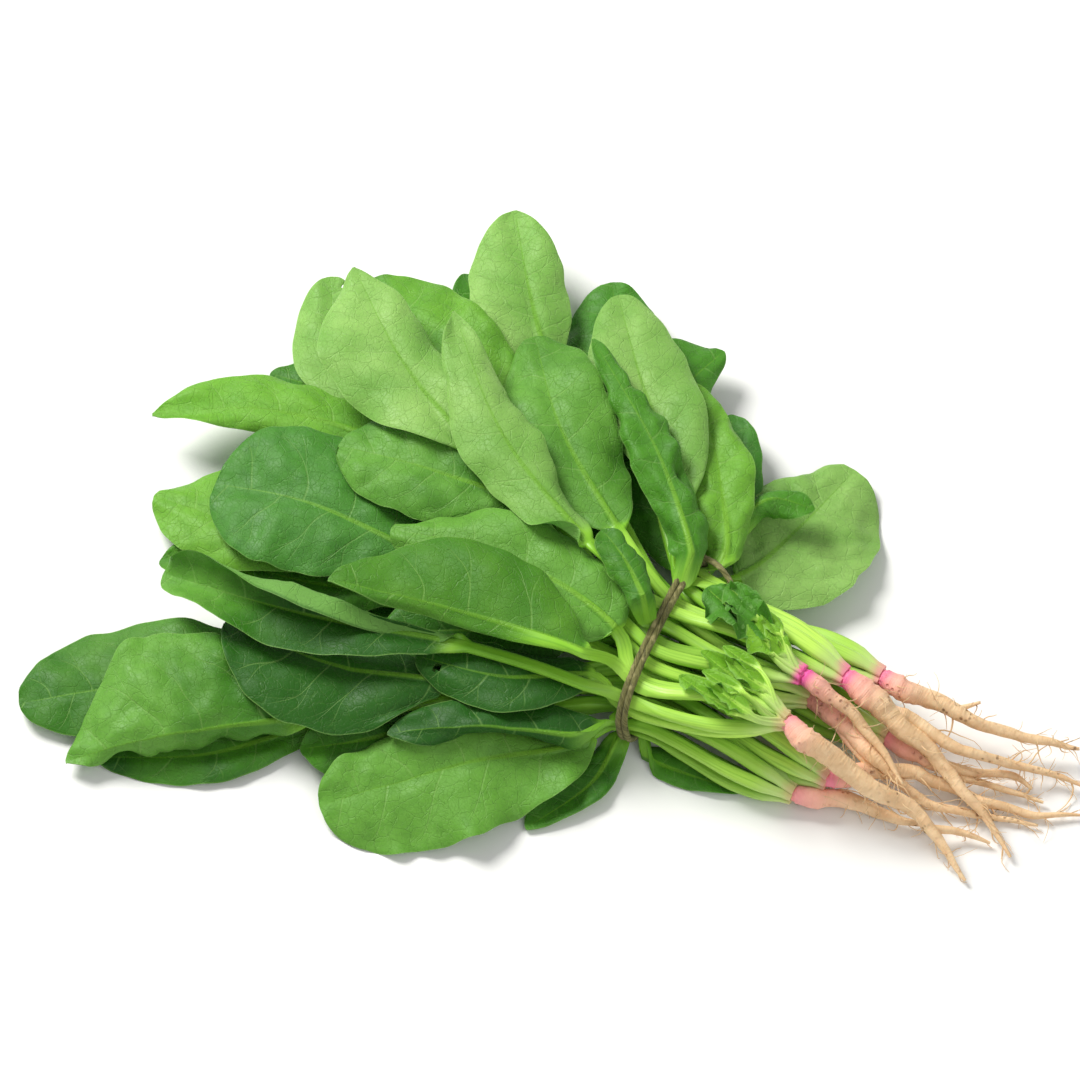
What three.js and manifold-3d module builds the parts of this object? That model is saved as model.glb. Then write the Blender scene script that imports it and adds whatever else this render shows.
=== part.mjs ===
// A bunch of eight spinach plants, pulled with their roots and lying down, held by one fibre tie.
// Each leaf, each root, the tie and its knot is one closed solid. Millimetres, +Z up.

import * as THREE from 'three';
import { mergeVertices } from 'three/addons/utils/BufferGeometryUtils.js';
import Module from 'manifold-3d';

const wasm = await Module();
wasm.setup();

// Driving dimensions, in millimetres and degrees.

// Places are written as seen from the front, looking down by LOOK_DOWN: how far to the right,
// how far up, and how high above the surface that the bunch lies on.
const LOOK_DOWN = 58;

const TIE_PLACE = [46, -40, 17.5];
const TIE_HALF_WIDTH = 36.5;
const TIE_HALF_HEIGHT = 16;
const TIE_SQUARENESS = 2.6;
const TIE_LEAN = 5;
const TIE_BAND_WIDTH = 4.4;
const TIE_BAND_THICK = 1.8;
const BUNDLE_HEADING = -23;

const STALK_RING_AT_TIE = 5.4;
const STALK_RING_AT_CROWN = 4.6;
const STALK_HALF_WIDTH = 2.35;
const STALK_HALF_WIDTH_AT_CROWN = 1.9;
const STALK_THICK = 4.0;
const STALK_FLANK = 0.75;
const STALK_NARROWS = [10, 50];
const STALK_STOPS_SHORT = 1.2;
const STALK_LEAVES_TIE = 9;
const STALK_TURNS = 0.6;
const BLADE_THICK = 1.2;
const MIDRIB_THICK = 2.4;

// How much higher the pile of blades stands than the heights written in the list of leaves.
const PILE_LOFT = 1.3;
const LEAF_CLEARANCE = 0.9;
const DRAPE_REACH = 34;
const DRAPE_RAMP = [4, 26];
const FLOOR_CLEARANCE = 0.7;
const CUT_GAP = 0.35;
const MERGE_WITHIN = 1e-4;
const MAP_CELL = 3;
const SIMPLIFY = 0.14;

const TONES = {
  pale: 0x96c869,
  fresh: 0x5aa02d,
  mid: 0x5f9b46,
  deep: 0x3c7828,
};
const ROOT_COLOUR = 0xe1be91;
const TIE_COLOUR = 0x96784b;

// The plants. tie is where the plant's stalks pass the tie, across (front to back) and high.
// Each root point is [right, up, height, radius]; the first is the crown's collar.
const PLANTS = {
  1: {
    tie: [-25.5, 25],
    root: [[88, -64.5, 30, 5.0], [92, -69, 30, 4.7], [100, -74.5, 28, 4.1], [116, -86, 20, 3.5],
      [131, -95.5, 12, 2.7], [141, -107, 7, 1.8], [150, -120, 3, 0.6]],
    forks: [[[138, -102, 8, 1.7], [148, -103, 5, 1.4], [159, -107, 3, 0.5]]],
  },
  2: {
    tie: [-8.5, 25],
    root: [[96.5, -56.5, 17, 4.8], [102, -60.5, 17.5, 4.5], [110, -67.5, 17, 3.8],
      [118.5, -77, 16, 2.9], [124, -82, 14.5, 2.0], [129, -87, 13, 0.6]],
    forks: [[[104, -63, 17, 2.0], [112, -75, 14, 1.7], [121, -83, 12, 0.6]]],
  },
  3: {
    tie: [8.5, 25],
    root: [[94, -48.5, 32, 4.8], [98, -51.5, 31, 3.9], [104, -56, 29, 2.5], [112, -62.5, 25, 2.1],
      [121, -74, 20, 1.5], [128, -86, 16, 0.5]],
    forks: [],
  },
  4: {
    tie: [25.5, 25],
    root: [[109, -49, 27, 5.4], [114, -53, 26, 5.2], [120, -58, 24, 4.6], [126, -65, 21, 3.8],
      [138, -74, 16, 3.0], [147, -86, 11, 2.3], [157, -97, 7, 1.6], [166, -112, 3, 0.5]],
    forks: [[[122, -60, 23, 2.6], [131, -63, 21, 2.4], [148, -74, 16, 2.1], [167, -79.5, 10, 1.6],
      [182, -83, 6, 1.2], [192, -87, 4, 0.5]]],
  },
  5: {
    tie: [-25.5, 11],
    root: [[91, -90, 7.5, 4.8], [96, -91, 7.2, 4.4], [103, -92, 6.4, 3.3], [116, -95, 5, 2.5],
      [128, -99, 4, 1.6], [137, -101, 3, 0.5]],
    forks: [],
  },
  6: {
    tie: [-8.5, 11],
    root: [[103, -84.5, 12, 4.9], [108, -83.5, 12, 4.3], [117, -81.5, 11, 3.2], [130, -82, 9, 2.7],
      [140, -85.5, 7, 2.3], [156, -92, 5, 1.9], [173, -97, 3.5, 1.4], [192, -97.5, 2.5, 0.5]],
    forks: [[[125, -84, 9, 1.8], [138, -93.5, 5, 1.7], [158, -97.5, 3.5, 1.3], [176, -101, 2.5, 0.5]]],
  },
  7: {
    tie: [8.5, 11],
    root: [[124, -70.5, 7, 4.8], [129, -73.5, 8, 4.2], [135, -77, 9.5, 2.8], [144, -80.5, 8, 2.0],
      [153, -82, 7, 1.7], [169, -84.5, 5, 1.2], [174, -88, 4, 0.5]],
    forks: [[[138, -79, 8.5, 1.6], [148, -84, 6, 1.4], [167, -89, 4, 1.1], [178, -93, 3, 0.5]]],
  },
  8: {
    tie: [25.5, 11],
    root: [[122, -49, 20, 5.0], [127, -52, 20, 4.6], [135, -55, 19, 3.5], [149, -62, 16, 2.7],
      [165, -68, 12, 2.0], [183, -72.5, 9, 1.4], [191, -74, 8, 0.6]],
    forks: [[[146, -60.5, 16.5, 1.4], [156, -57.5, 17.5, 0.5]]],
  },
};

// The leaves, from the lowest to the highest in the pile. slot says which of the plant's six places
// in the tie the stalk has, turning from the back over the top to the front, and ring its place
// at the crown, where that differs.
// base, middle and tip of the blade's midrib are [right, up, height]. half gives the half-widths
// left and right of the midrib, looking from base to tip. peak says how far along the blade is
// widest, and blunt and foot how round its tip and its base are, smaller being rounder. left and
// right give each half's slope at the midrib and how much more it turns by the edge, in degrees,
// up being positive.
const LEAVES = [
  { plant: 5, slot: 4, base: [30, -73, 3], middle: [50, -82, 2], tip: [72, -89, 2], half: [9, 6],
    tone: 'deep' },
  { plant: 6, slot: 4, base: [-21, -54, 5], middle: [-50, -55, 4], tip: [-79, -55, 3], half: [16, 16],
    tone: 'deep' },
  { plant: 7, slot: 3, base: [-7, -22, 6], middle: [-50, -22, 5], tip: [-89, -18, 4], half: [19, 19],
    tone: 'deep' },
  { plant: 7, slot: 4, base: [-14, -7, 6], middle: [-50, 14, 5], tip: [-86, 32, 4], half: [20, 20],
    tone: 'deep' },
  { plant: 8, slot: 3, base: [16, -14, 6], middle: [-24, 24, 5], tip: [-57, 61, 4], half: [22, 22],
    tone: 'deep' },
  { plant: 8, slot: 4, base: [34, -8, 6], middle: [16, 35, 5], tip: [4, 75, 4], half: [22, 22],
    tone: 'deep' },
  { plant: 8, slot: 1, base: [52, -12, 8], middle: [43, 20, 7], tip: [36, 50, 5], half: [18, 18],
    tone: 'deep' },
  { plant: 5, slot: 0, base: [-73, -65, 4], middle: [-120, -76, 3], tip: [-158, -77, 2],
    half: [12, 14], tone: 'deep' },
  { plant: 5, slot: 3, base: [27, -73, 4], middle: [18, -86, 3], tip: [-5, -102, 2], half: [7, 12],
    tone: 'deep' },
  { plant: 5, slot: 5, base: [-39, -68, 4], middle: [-64, -73, 4], tip: [-85, -76, 3], half: [15, 11],
    tone: 'deep' },
  { plant: 6, slot: 3, base: [-78, -50, 9], middle: [-148, -52, 7], tip: [-185, -58, 4],
    half: [20, 27], blunt: 0.45, left: [4, -22], right: [6, -20], tone: 'mid' },
  { plant: 8, slot: 5, base: [71, -13, 12], middle: [92, 4, 8], tip: [113, 25, 4], half: [22, 30],
    peak: 0.44, blunt: 0.42, foot: 0.5, left: [8, -24], right: [8, -24], tone: 'pale' },
  { plant: 7, slot: 5, base: [-43, 36, 9], middle: [-75, 53, 8], tip: [-97, 60, 6], half: [10, 13],
    tone: 'deep' },
  { plant: 8, slot: 2, base: [11, 25, 10], middle: [-14, 68, 10], tip: [-28, 96, 8], half: [14, 14],
    tone: 'deep' },
  { plant: 4, slot: 4, base: [41, 21, 10], middle: [30, 61, 11], tip: [26, 93, 8], half: [24, 19],
    blunt: 0.45, left: [6, -24], right: [6, -24], tone: 'deep' },
  { plant: 8, slot: 0, base: [61, -4, 12], middle: [67, 21, 11], tip: [69, 45, 8], half: [12, 13],
    tone: 'deep' },
  { plant: 4, slot: 3, base: [50, 18, 14], middle: [51, 52, 14], tip: [66, 68, 11], half: [27, 9],
    left: [6, -20], right: [4, -30], tone: 'deep' },
  { plant: 2, slot: 5, base: [-39, 36, 10], middle: [-71, 66, 11], tip: [-76, 95, 9], half: [17, 17],
    blunt: 0.45, tone: 'pale' },
  { plant: 7, slot: 1, base: [-79, -18, 7], middle: [-114, -9, 6], tip: [-136, -8, 4],
    half: [9, 11], tone: 'fresh' },
  { plant: 6, slot: 5, base: [-43, -21, 9], middle: [-82, -16, 8], tip: [-102, -12, 6],
    half: [12, 10], tone: 'deep' },
  { plant: 7, slot: 0, base: [-71, -9, 10], middle: [-112, 7, 10], tip: [-138, 16, 7],
    half: [18, 23], blunt: 0.48, tone: 'fresh' },
  { plant: 6, slot: 0, base: [0, -52, 12], middle: [-30, -54, 11], tip: [-55, -56, 9], half: [13, 13],
    tone: 'deep' },
  { plant: 7, slot: 2, base: [12, -36, 14], middle: [-25, -33, 12], tip: [-57, -34, 10],
    half: [18, 18], tone: 'deep' },
  { plant: 5, slot: 2, base: [18, -71, 8], middle: [-30, -81, 8], tip: [-78, -95, 3],
    half: [28, 19], peak: 0.6, blunt: 0.42, foot: 0.42, left: [4, -18], right: [8, -20],
    tone: 'mid' },
  { plant: 6, slot: 2, base: [-75, -62, 12], middle: [-128, -71, 9], tip: [-168, -79, 4],
    half: [11, 43], peak: 0.5, blunt: 0.8, left: [-70, -30], right: [26, -34], tone: 'mid' },
  { plant: 2, slot: 4, base: [-50, 31, 15], middle: [-98, 47, 16], tip: [-139, 45, 13],
    half: [9, 17], blunt: 0.75, left: [2, -24], right: [6, -28], tone: 'fresh' },
  { plant: 2, slot: 3, base: [-36, -9, 18], middle: [-81, 13, 20], tip: [-116, 20, 14],
    half: [28, 32], peak: 0.54, blunt: 0.38, left: [4, -26], right: [6, -22], tone: 'deep' },
  { plant: 3, slot: 5, ring: 4, base: [5, 58, 17], middle: [-4, 91, 18], tip: [-9, 119, 17],
    half: [22, 15], blunt: 0.62, left: [6, -22], right: [6, -22], tone: 'pale' },
  { plant: 2, slot: 0, base: [-4, 21, 17], middle: [-39, 70, 18], tip: [-61, 94, 14],
    half: [15, 24], left: [4, -20], right: [6, -28], tone: 'fresh' },
  { plant: 5, slot: 1, base: [25, -68, 14], middle: [-18, -70, 13], tip: [-54, -70, 11],
    half: [8, 13], left: [-70, -30], right: [14, -24], tone: 'deep' },
  { plant: 6, slot: 1, base: [-32, -51, 15], middle: [-79, -43, 15], tip: [-112, -31, 12],
    half: [28, 17], left: [2, -22], right: [8, -16], tone: 'mid' },
  { plant: 4, slot: 0, base: [70, 7, 19], middle: [82, 15, 20], tip: [98, 11, 17], half: [7, 8],
    left: [-20, -60], right: [-20, -60], tone: 'deep' },
  { plant: 4, slot: 5, base: [65, -7, 21], middle: [64, 24, 22], tip: [56, 56, 18], half: [13, 11],
    foot: 0.5, left: [10, -40], right: [10, -44], tone: 'fresh' },
  { plant: 4, slot: 2, base: [52, 14, 22], middle: [37, 55, 24], tip: [28, 88, 20], half: [18, 19],
    blunt: 0.48, left: [10, -24], right: [6, -24], tone: 'pale' },
  { plant: 3, slot: 0, ring: 5, base: [29, 2, 24], middle: [7, 41, 26], tip: [-2, 73, 22], half: [19, 21],
    blunt: 0.42, left: [6, -20], right: [6, -22], tone: 'mid' },
  { plant: 1, slot: 3, ring: 4, base: [20, -49, 20], middle: [-14, -48, 22], tip: [-44, -41, 20],
    half: [14, 14], blunt: 0.48, tone: 'mid' },
  { plant: 2, slot: 2, base: [-4, 10, 24], middle: [-38, 25, 26], tip: [-72, 33, 21],
    half: [20, 22], peak: 0.54, blunt: 0.4, foot: 0.55, left: [4, -24], right: [6, -16], tone: 'mid' },
  { plant: 2, slot: 1, base: [-20, 27, 27], middle: [-49, 64, 29], tip: [-67, 98, 26],
    half: [26, 15], peak: 0.58, blunt: 0.6, foot: 0.95, left: [4, -22], right: [6, -22], tone: 'pale' },
  { plant: 1, slot: 2, ring: 3, base: [-21, -39, 24], middle: [-84, -26, 24], tip: [-134, -12, 17],
    half: [15, 19], peak: 0.55, blunt: 0.36, left: [4, 10], right: [26, 60], tone: 'mid' },
  { plant: 4, slot: 1, base: [54, -7, 28], middle: [43, 29, 31], tip: [19, 72, 29], half: [11, 12],
    peak: 0.32, foot: 0.42, left: [-4, -40], right: [-4, -40], tone: 'deep' },
  { plant: 1, slot: 0, ring: 5, base: [27, -32, 28], middle: [-12, -5, 30], tip: [-53, 4, 26],
    half: [20, 18], peak: 0.42, blunt: 0.45, foot: 0.5, left: [4, -20], right: [8, -24], tone: 'mid' },
  { plant: 3, slot: 1, ring: 0, base: [18, -2, 32], middle: [-14, 39, 34], tip: [-31, 82, 32],
    half: [17, 12], blunt: 0.8, foot: 0.55, left: [-2, -34], right: [-4, -40], tone: 'pale' },
  { plant: 3, slot: 2, ring: 3, base: [39, -26, 33], middle: [31, -9, 35], tip: [22, 3, 33], half: [9, 9],
    left: [10, -60], right: [10, -60], tone: 'fresh' },
  { plant: 1, slot: 1, ring: 0, base: [18, -41, 33], middle: [-32, -24, 35], tip: [-75, -17, 32],
    half: [6, 30], peak: 0.46, blunt: 0.72, foot: 1.05, left: [-60, -20], right: [14, -30], tone: 'fresh' },
  { plant: 3, ring: 2, base: [77, -37, 35], middle: [68, -26, 36], tip: [59, -17, 35], half: [9, 9],
    tone: 'deep', young: true },
  { plant: 3, ring: 1, base: [84, -42, 35], middle: [79, -36, 36], tip: [73, -28, 35], half: [5, 5],
    tone: 'fresh', young: true },
  { plant: 1, ring: 1, base: [77, -54, 35], middle: [67, -47, 36], tip: [57, -39, 35], half: [5, 5],
    tone: 'fresh', young: true },
  { plant: 1, ring: 2, base: [71, -63, 35], middle: [60, -56, 36], tip: [49, -48, 35], half: [5, 5],
    tone: 'fresh', young: true },
];

// The rest follows from these.

const UP = new THREE.Vector3(0, 0, 1);
const radians = THREE.MathUtils.degToRad;
const heading = radians(BUNDLE_HEADING);
const TOWARDS_ROOTS = new THREE.Vector3(Math.cos(heading), Math.sin(heading), 0);
const ACROSS = new THREE.Vector3(-Math.sin(heading), Math.cos(heading), 0);
const TIE_CENTRE = place(TIE_PLACE);

function place([right, up, height]) {
  const tilt = radians(LOOK_DOWN);
  return new THREE.Vector3(right, (up - height * Math.cos(tilt)) / Math.sin(tilt), height);
}

function smoothstep(x, from, to) {
  return THREE.MathUtils.smoothstep(x, from, to);
}

// Rings and lofts

// A closed body through rings of the same number of points, with a fan over each end.
function loft(rings) {
  const n = rings[0].length;
  const positions = [];
  for (const ring of rings) {
    for (const p of ring) positions.push(p.x, p.y, p.z);
  }
  const middleOf = (ring) => ring.reduce((sum, p) => sum.add(p), new THREE.Vector3()).divideScalar(n);
  const first = middleOf(rings[0]);
  const last = middleOf(rings[rings.length - 1]);
  positions.push(first.x, first.y, first.z, last.x, last.y, last.z);
  const firstIndex = rings.length * n;
  const index = [];
  for (let i = 0; i < rings.length - 1; i++) {
    for (let j = 0; j < n; j++) {
      const a = i * n + j;
      const b = i * n + (j + 1) % n;
      index.push(a, b, a + n, b, b + n, a + n);
    }
  }
  const lastRing = (rings.length - 1) * n;
  for (let j = 0; j < n; j++) {
    const k = (j + 1) % n;
    index.push(k, j, firstIndex);
    index.push(lastRing + j, lastRing + k, firstIndex + 1);
  }
  return closedGeometry(positions, index);
}

function closedGeometry(positions, index) {
  const geometry = new THREE.BufferGeometry();
  geometry.setAttribute('position', new THREE.Float32BufferAttribute(positions, 3));
  geometry.setIndex(index);
  return geometry;
}

function solidOf(geometry) {
  const plain = geometry.clone();
  plain.deleteAttribute('normal');
  plain.deleteAttribute('uv');
  const merged = mergeVertices(plain, MERGE_WITHIN);
  const vertProperties = new Float32Array(merged.attributes.position.array);
  const triVerts = new Uint32Array(merged.index.array);
  const solid = new wasm.Manifold(new wasm.Mesh({ numProp: 3, vertProperties, triVerts }));
  if (solid.volume() >= 0) return solid;
  return new wasm.Manifold(new wasm.Mesh({ numProp: 3, vertProperties, triVerts: triVerts.reverse() }));
}

function geometryOf(solid) {
  const mesh = solid.getMesh();
  return closedGeometry(Array.from(mesh.vertProperties), Array.from(mesh.triVerts));
}

function largestBody(solid) {
  return solid.decompose().reduce((a, b) => (b.volume() > a.volume() ? b : a));
}

// How high the pile is at each place

class HeightMap {
  constructor() {
    this.cells = new Map();
  }

  key(x, y) {
    return Math.round(x / MAP_CELL) * 4096 + Math.round(y / MAP_CELL);
  }

  at(x, y) {
    return this.cells.get(this.key(x, y)) ?? -Infinity;
  }

  raise(p) {
    const key = this.key(p.x, p.y);
    this.cells.set(key, Math.max(p.z, this.cells.get(key) ?? -Infinity));
  }

  // Rows of points on a piece's upper side, filled in between.
  cover(rows) {
    const steps = 5;
    for (let i = 0; i < rows.length - 1; i++) {
      for (let j = 0; j < rows[i].length - 1; j++) {
        for (let s = 0; s <= steps; s++) {
          const near = rows[i][j].clone().lerp(rows[i + 1][j], s / steps);
          const far = rows[i][j + 1].clone().lerp(rows[i + 1][j + 1], s / steps);
          for (let t = 0; t <= steps; t++) this.raise(near.clone().lerp(far, t / steps));
        }
      }
    }
  }
}

// Leaves

// The section's points, each a side and a share of the way from the midrib to the edge.
const SECTION = [['left', 1], ['left', 0.55], ['left', 0], ['right', 0.55], ['right', 1]];
const STATIONS_TO_TIE = 2;
const STATIONS_TO_BLADE = 2;
const STATIONS_ON_BLADE = 7;
const LAST_STATION = 0.985;

function withDefaults(leaf) {
  const shape = { peak: 0.48, blunt: 0.55, foot: 0.72, left: [6, -24], right: [6, -24] };
  return { ring: leaf.slot, young: false, ...shape, ...leaf };
}

function slotOffset(slot, ring) {
  const angle = radians(60 * slot + 30);
  return ACROSS.clone().multiplyScalar(ring * Math.cos(angle)).addScaledVector(UP, ring * Math.sin(angle));
}

function tieSlot(leaf) {
  const [across, height] = PLANTS[leaf.plant].tie;
  const p = TIE_CENTRE.clone().addScaledVector(ACROSS, across).setZ(height);
  return p.add(slotOffset(leaf.slot, STALK_RING_AT_TIE));
}

function crownSlot(leaf) {
  const [collar, next] = PLANTS[leaf.plant].root;
  const crown = place(collar);
  const outwards = place(next).sub(crown).normalize();
  return crown.addScaledVector(outwards, -STALK_STOPS_SHORT).add(slotOffset(leaf.ring, STALK_RING_AT_CROWN));
}

// The midrib's curve, from the crown by way of the tie to the blade's tip. A stalk leaves the tie
// between straight on and straight at its blade. A young leaf never reaches the tie.
function midrib(leaf) {
  const points = [crownSlot(leaf)];
  const loft = leaf.young ? 1 : PILE_LOFT;
  const blade = [leaf.base, leaf.middle, leaf.tip].map(([right, up, height]) => {
    return place([right, up, height * loft]);
  });
  if (!leaf.young) {
    const slot = tieSlot(leaf);
    const toBlade = blade[0].clone().sub(slot);
    const reach = Math.min(STALK_LEAVES_TIE, 0.6 * toBlade.length());
    const leaving = TOWARDS_ROOTS.clone().negate().lerp(toBlade.normalize(), STALK_TURNS).normalize();
    points.push(slot, slot.clone().addScaledVector(leaving, reach));
  }
  points.push(...blade);
  return new THREE.CatmullRomCurve3(points, false, 'centripetal');
}

// The blade's half-width at a share of its length, as a share of the widest.
function outline(leaf, along) {
  const power = Math.log(0.5) / Math.log(leaf.peak);
  const exponent = THREE.MathUtils.lerp(leaf.foot, leaf.blunt, smoothstep(along, 0.3, 0.8));
  return Math.sin(Math.PI * along ** power) ** exponent;
}

// Every station along a leaf: where on the curve it is, and how far along the blade, if it is.
function stations(leaf) {
  const spans = leaf.young ? [STATIONS_TO_BLADE] : [STATIONS_TO_TIE, 1, STATIONS_TO_BLADE];
  const total = spans.length + 2;
  const list = [];
  spans.forEach((count, span) => {
    for (let i = 0; i < count; i++) list.push({ t: (span + i / count) / total, along: 0 });
  });
  for (let i = 0; i <= STATIONS_ON_BLADE; i++) {
    const along = i / STATIONS_ON_BLADE * LAST_STATION;
    list.push({ t: (spans.length + 2 * along) / total, along });
  }
  return list;
}

// A point on one half of the section, a share of the way from the midrib to the edge.
function onHalf(station, side, share) {
  const { centre, up, leftwards, width, slope, turn } = station;
  const sign = side === 'left' ? 1 : -1;
  const steps = 4;
  const p = centre.clone();
  for (let i = 0; i < steps; i++) {
    const angle = radians(slope[side] + turn[side] * share * (i + 0.5) / steps);
    const step = width[side] * share / steps;
    p.addScaledVector(leftwards, sign * step * Math.cos(angle));
    p.addScaledVector(up, step * Math.sin(angle));
  }
  const tilt = radians(slope[side] + turn[side] * share);
  const normal = up.clone().multiplyScalar(share > 0 ? Math.cos(tilt) : 1);
  if (share > 0) normal.addScaledVector(leftwards, -sign * Math.sin(tilt));
  return { p, normal };
}

function section(leaf, curve, { t, along }) {
  const centre = curve.getPoint(t);
  const forwards = curve.getTangent(t);
  const leftwards = UP.clone().cross(forwards).normalize();
  const up = forwards.clone().cross(leftwards).normalize();
  const onBlade = along > 0 ? outline(leaf, along) : 0;
  const nearCrown = smoothstep(centre.clone().sub(TIE_CENTRE).dot(TOWARDS_ROOTS), ...STALK_NARROWS);
  const stalk = THREE.MathUtils.lerp(STALK_HALF_WIDTH, STALK_HALF_WIDTH_AT_CROWN, nearCrown);
  const narrow = stalk * (1 - 0.75 * along);
  const width = {};
  const slope = {};
  const turn = {};
  ['left', 'right'].forEach((side, i) => {
    width[side] = Math.max(leaf.half[i] * onBlade, narrow);
    const bladeShare = smoothstep(width[side], stalk, 3.5 * stalk);
    slope[side] = leaf[side][0] * bladeShare;
    turn[side] = leaf[side][1] * bladeShare;
  });
  const stalkThick = STALK_THICK * stalk / STALK_HALF_WIDTH;
  const rib = THREE.MathUtils.lerp(stalkThick, MIDRIB_THICK, smoothstep(along, 0, 0.3));
  const thick = {
    middle: THREE.MathUtils.lerp(rib, BLADE_THICK, smoothstep(along, 0.3, 1)),
    half: THREE.MathUtils.lerp(stalkThick * STALK_FLANK, BLADE_THICK, smoothstep(onBlade, 0.02, 0.3)),
  };
  return { centre, forwards, leftwards, up, width, slope, turn, thick };
}

// The section's outline: the upper side from left to right, then the lower side back again.
function ringOf(station, extra) {
  const upper = [];
  const lower = [];
  for (const [side, share] of SECTION) {
    const { p, normal } = onHalf(station, side, share);
    if (share === 1) {
      const outwards = p.clone().sub(onHalf(station, side, 0.9).p).normalize();
      upper.push(p.addScaledVector(outwards, extra));
    } else {
      const half = (share === 0 ? station.thick.middle : station.thick.half) / 2 + extra;
      upper.push(p.clone().addScaledVector(normal, half));
      lower.unshift(p.clone().addScaledVector(normal, -half));
    }
  }
  return [...upper, ...lower];
}

// How far each sample of a leaf has to rise to clear what lies under it.
function risesNeeded(sections, pile) {
  const needed = [];
  for (const station of sections) {
    const past = -station.centre.clone().sub(TIE_CENTRE).dot(TOWARDS_ROOTS);
    const free = station.young ? 1 : smoothstep(past, ...DRAPE_RAMP);
    if (free === 0) continue;
    for (const side of ['left', 'right']) {
      for (const share of [0, 0.35, 0.7, 1]) {
        const { p } = onHalf(station, side, share);
        const below = Math.max(pile.at(p.x, p.y) + LEAF_CLEARANCE, FLOOR_CLEARANCE) + BLADE_THICK / 2;
        if (below > p.z) needed.push({ p, rise: (below - p.z) * free });
      }
    }
  }
  return needed;
}

function riseAt(p, needed) {
  let rise = 0;
  for (const need of needed) {
    const near = 1 - smoothstep(Math.hypot(p.x - need.p.x, p.y - need.p.y), 0, DRAPE_REACH);
    rise = Math.max(rise, need.rise * near);
  }
  return rise;
}

function leafRings(leaf, extra, pile) {
  const curve = midrib(leaf);
  const sections = stations(leaf).map((station) => {
    return { ...section(leaf, curve, station), young: leaf.young };
  });
  const needed = risesNeeded(sections, pile);
  const lift = (p) => p.setZ(p.z + riseAt(p, needed));
  return sections.map((station) => ringOf(station, extra).map(lift));
}

function upperRows(rings) {
  return rings.map((ring) => ring.slice(0, SECTION.length));
}

// Roots

const ROOT_SIDES = 8;
const FORK_SIDES = 6;

// A tapering round body along a curve, one ring at each point and one halfway to the next.
function taper(points, radii, sides) {
  const curve = new THREE.CatmullRomCurve3(points, false, 'centripetal');
  const spans = points.length - 1;
  const rings = [];
  for (let i = 0; i <= spans * 2; i++) {
    const span = Math.min(Math.floor(i / 2), spans - 1);
    const radius = THREE.MathUtils.lerp(radii[span], radii[span + 1], i / 2 - span);
    const centre = curve.getPoint(i / spans / 2);
    const forwards = curve.getTangent(i / spans / 2);
    const leftwards = UP.clone().cross(forwards).normalize();
    const up = forwards.clone().cross(leftwards);
    const ring = [];
    for (let j = 0; j < sides; j++) {
      const angle = -2 * Math.PI * j / sides;
      ring.push(centre.clone().addScaledVector(leftwards, radius * Math.cos(angle))
        .addScaledVector(up, radius * Math.sin(angle)));
    }
    rings.push(ring);
  }
  return solidOf(loft(rings));
}

function rootBody(points, sides, extra) {
  return taper(points.map(place), points.map((point) => point[3] + extra), sides);
}

function rootSolid(plant, extra) {
  const main = rootBody(plant.root, ROOT_SIDES, extra);
  return plant.forks.reduce((body, fork) => body.add(rootBody(fork, FORK_SIDES, extra)), main);
}

// The tie

function tiePoint(angle, outwards) {
  const power = 2 / TIE_SQUARENESS;
  const c = Math.cos(angle);
  const s = Math.sin(angle);
  const across = Math.sign(c) * Math.abs(c) ** power * (TIE_HALF_WIDTH + outwards);
  const high = Math.sign(s) * Math.abs(s) ** power * (TIE_HALF_HEIGHT + outwards);
  return TIE_CENTRE.clone().addScaledVector(ACROSS, across).addScaledVector(UP, high)
    .addScaledVector(TOWARDS_ROOTS, -TIE_LEAN * (0.5 + high / TIE_HALF_HEIGHT / 2));
}

function tieBand(extra) {
  const around = 36;
  const half = TIE_BAND_WIDTH / 2 + extra;
  const thick = TIE_BAND_THICK / 2 + extra;
  const corners = [[-1, -0.5], [-0.6, -1], [0.6, -1], [1, -0.5], [1, 0.5], [0.6, 1], [-0.6, 1], [-1, 0.5]];
  const n = corners.length;
  const positions = [];
  const index = [];
  for (let i = 0; i < around; i++) {
    for (const [along, out] of corners) {
      const p = tiePoint(2 * Math.PI * i / around, out * thick);
      p.addScaledVector(TOWARDS_ROOTS, along * half);
      positions.push(p.x, p.y, p.z);
    }
    for (let j = 0; j < n; j++) {
      const a = i * n + j;
      const b = i * n + (j + 1) % n;
      const c = ((i + 1) % around) * n + j;
      const d = ((i + 1) % around) * n + (j + 1) % n;
      index.push(a, b, c, b, d, c);
    }
  }
  return solidOf(closedGeometry(positions, index));
}

// The knot lies over the band where the tie comes round to the back, with two loose ends.
const KNOT_ANGLE = 38;
const KNOT_SIZE = [4.4, 3.2, 2.4];
const STRAND_RADIUS = 1.1;
const LOOSE_ENDS = [[[5, 0.5, 2], [10, -1, 2.5], [15, -4, 1.5], [19, -8, 0.5]],
  [[-4, 1, 2], [-8, 2, 3], [-12, 1, 3.5]]];

function knot() {
  const at = tiePoint(radians(KNOT_ANGLE), TIE_BAND_THICK / 2 + KNOT_SIZE[2]);
  const lump = new THREE.SphereGeometry(1, 10, 6).scale(...KNOT_SIZE).rotateZ(heading);
  let solid = solidOf(lump.translate(at.x, at.y, at.z));
  for (const end of LOOSE_ENDS) {
    const points = end.map(([along, across, high]) => at.clone().addScaledVector(TOWARDS_ROOTS, along)
      .addScaledVector(ACROSS, across).addScaledVector(UP, high - 2));
    const strand = [at.clone(), ...points];
    solid = solid.add(taper(strand, strand.map(() => STRAND_RADIUS), FORK_SIDES));
  }
  return solid;
}

// The bunch

const group = new THREE.Group();

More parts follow.
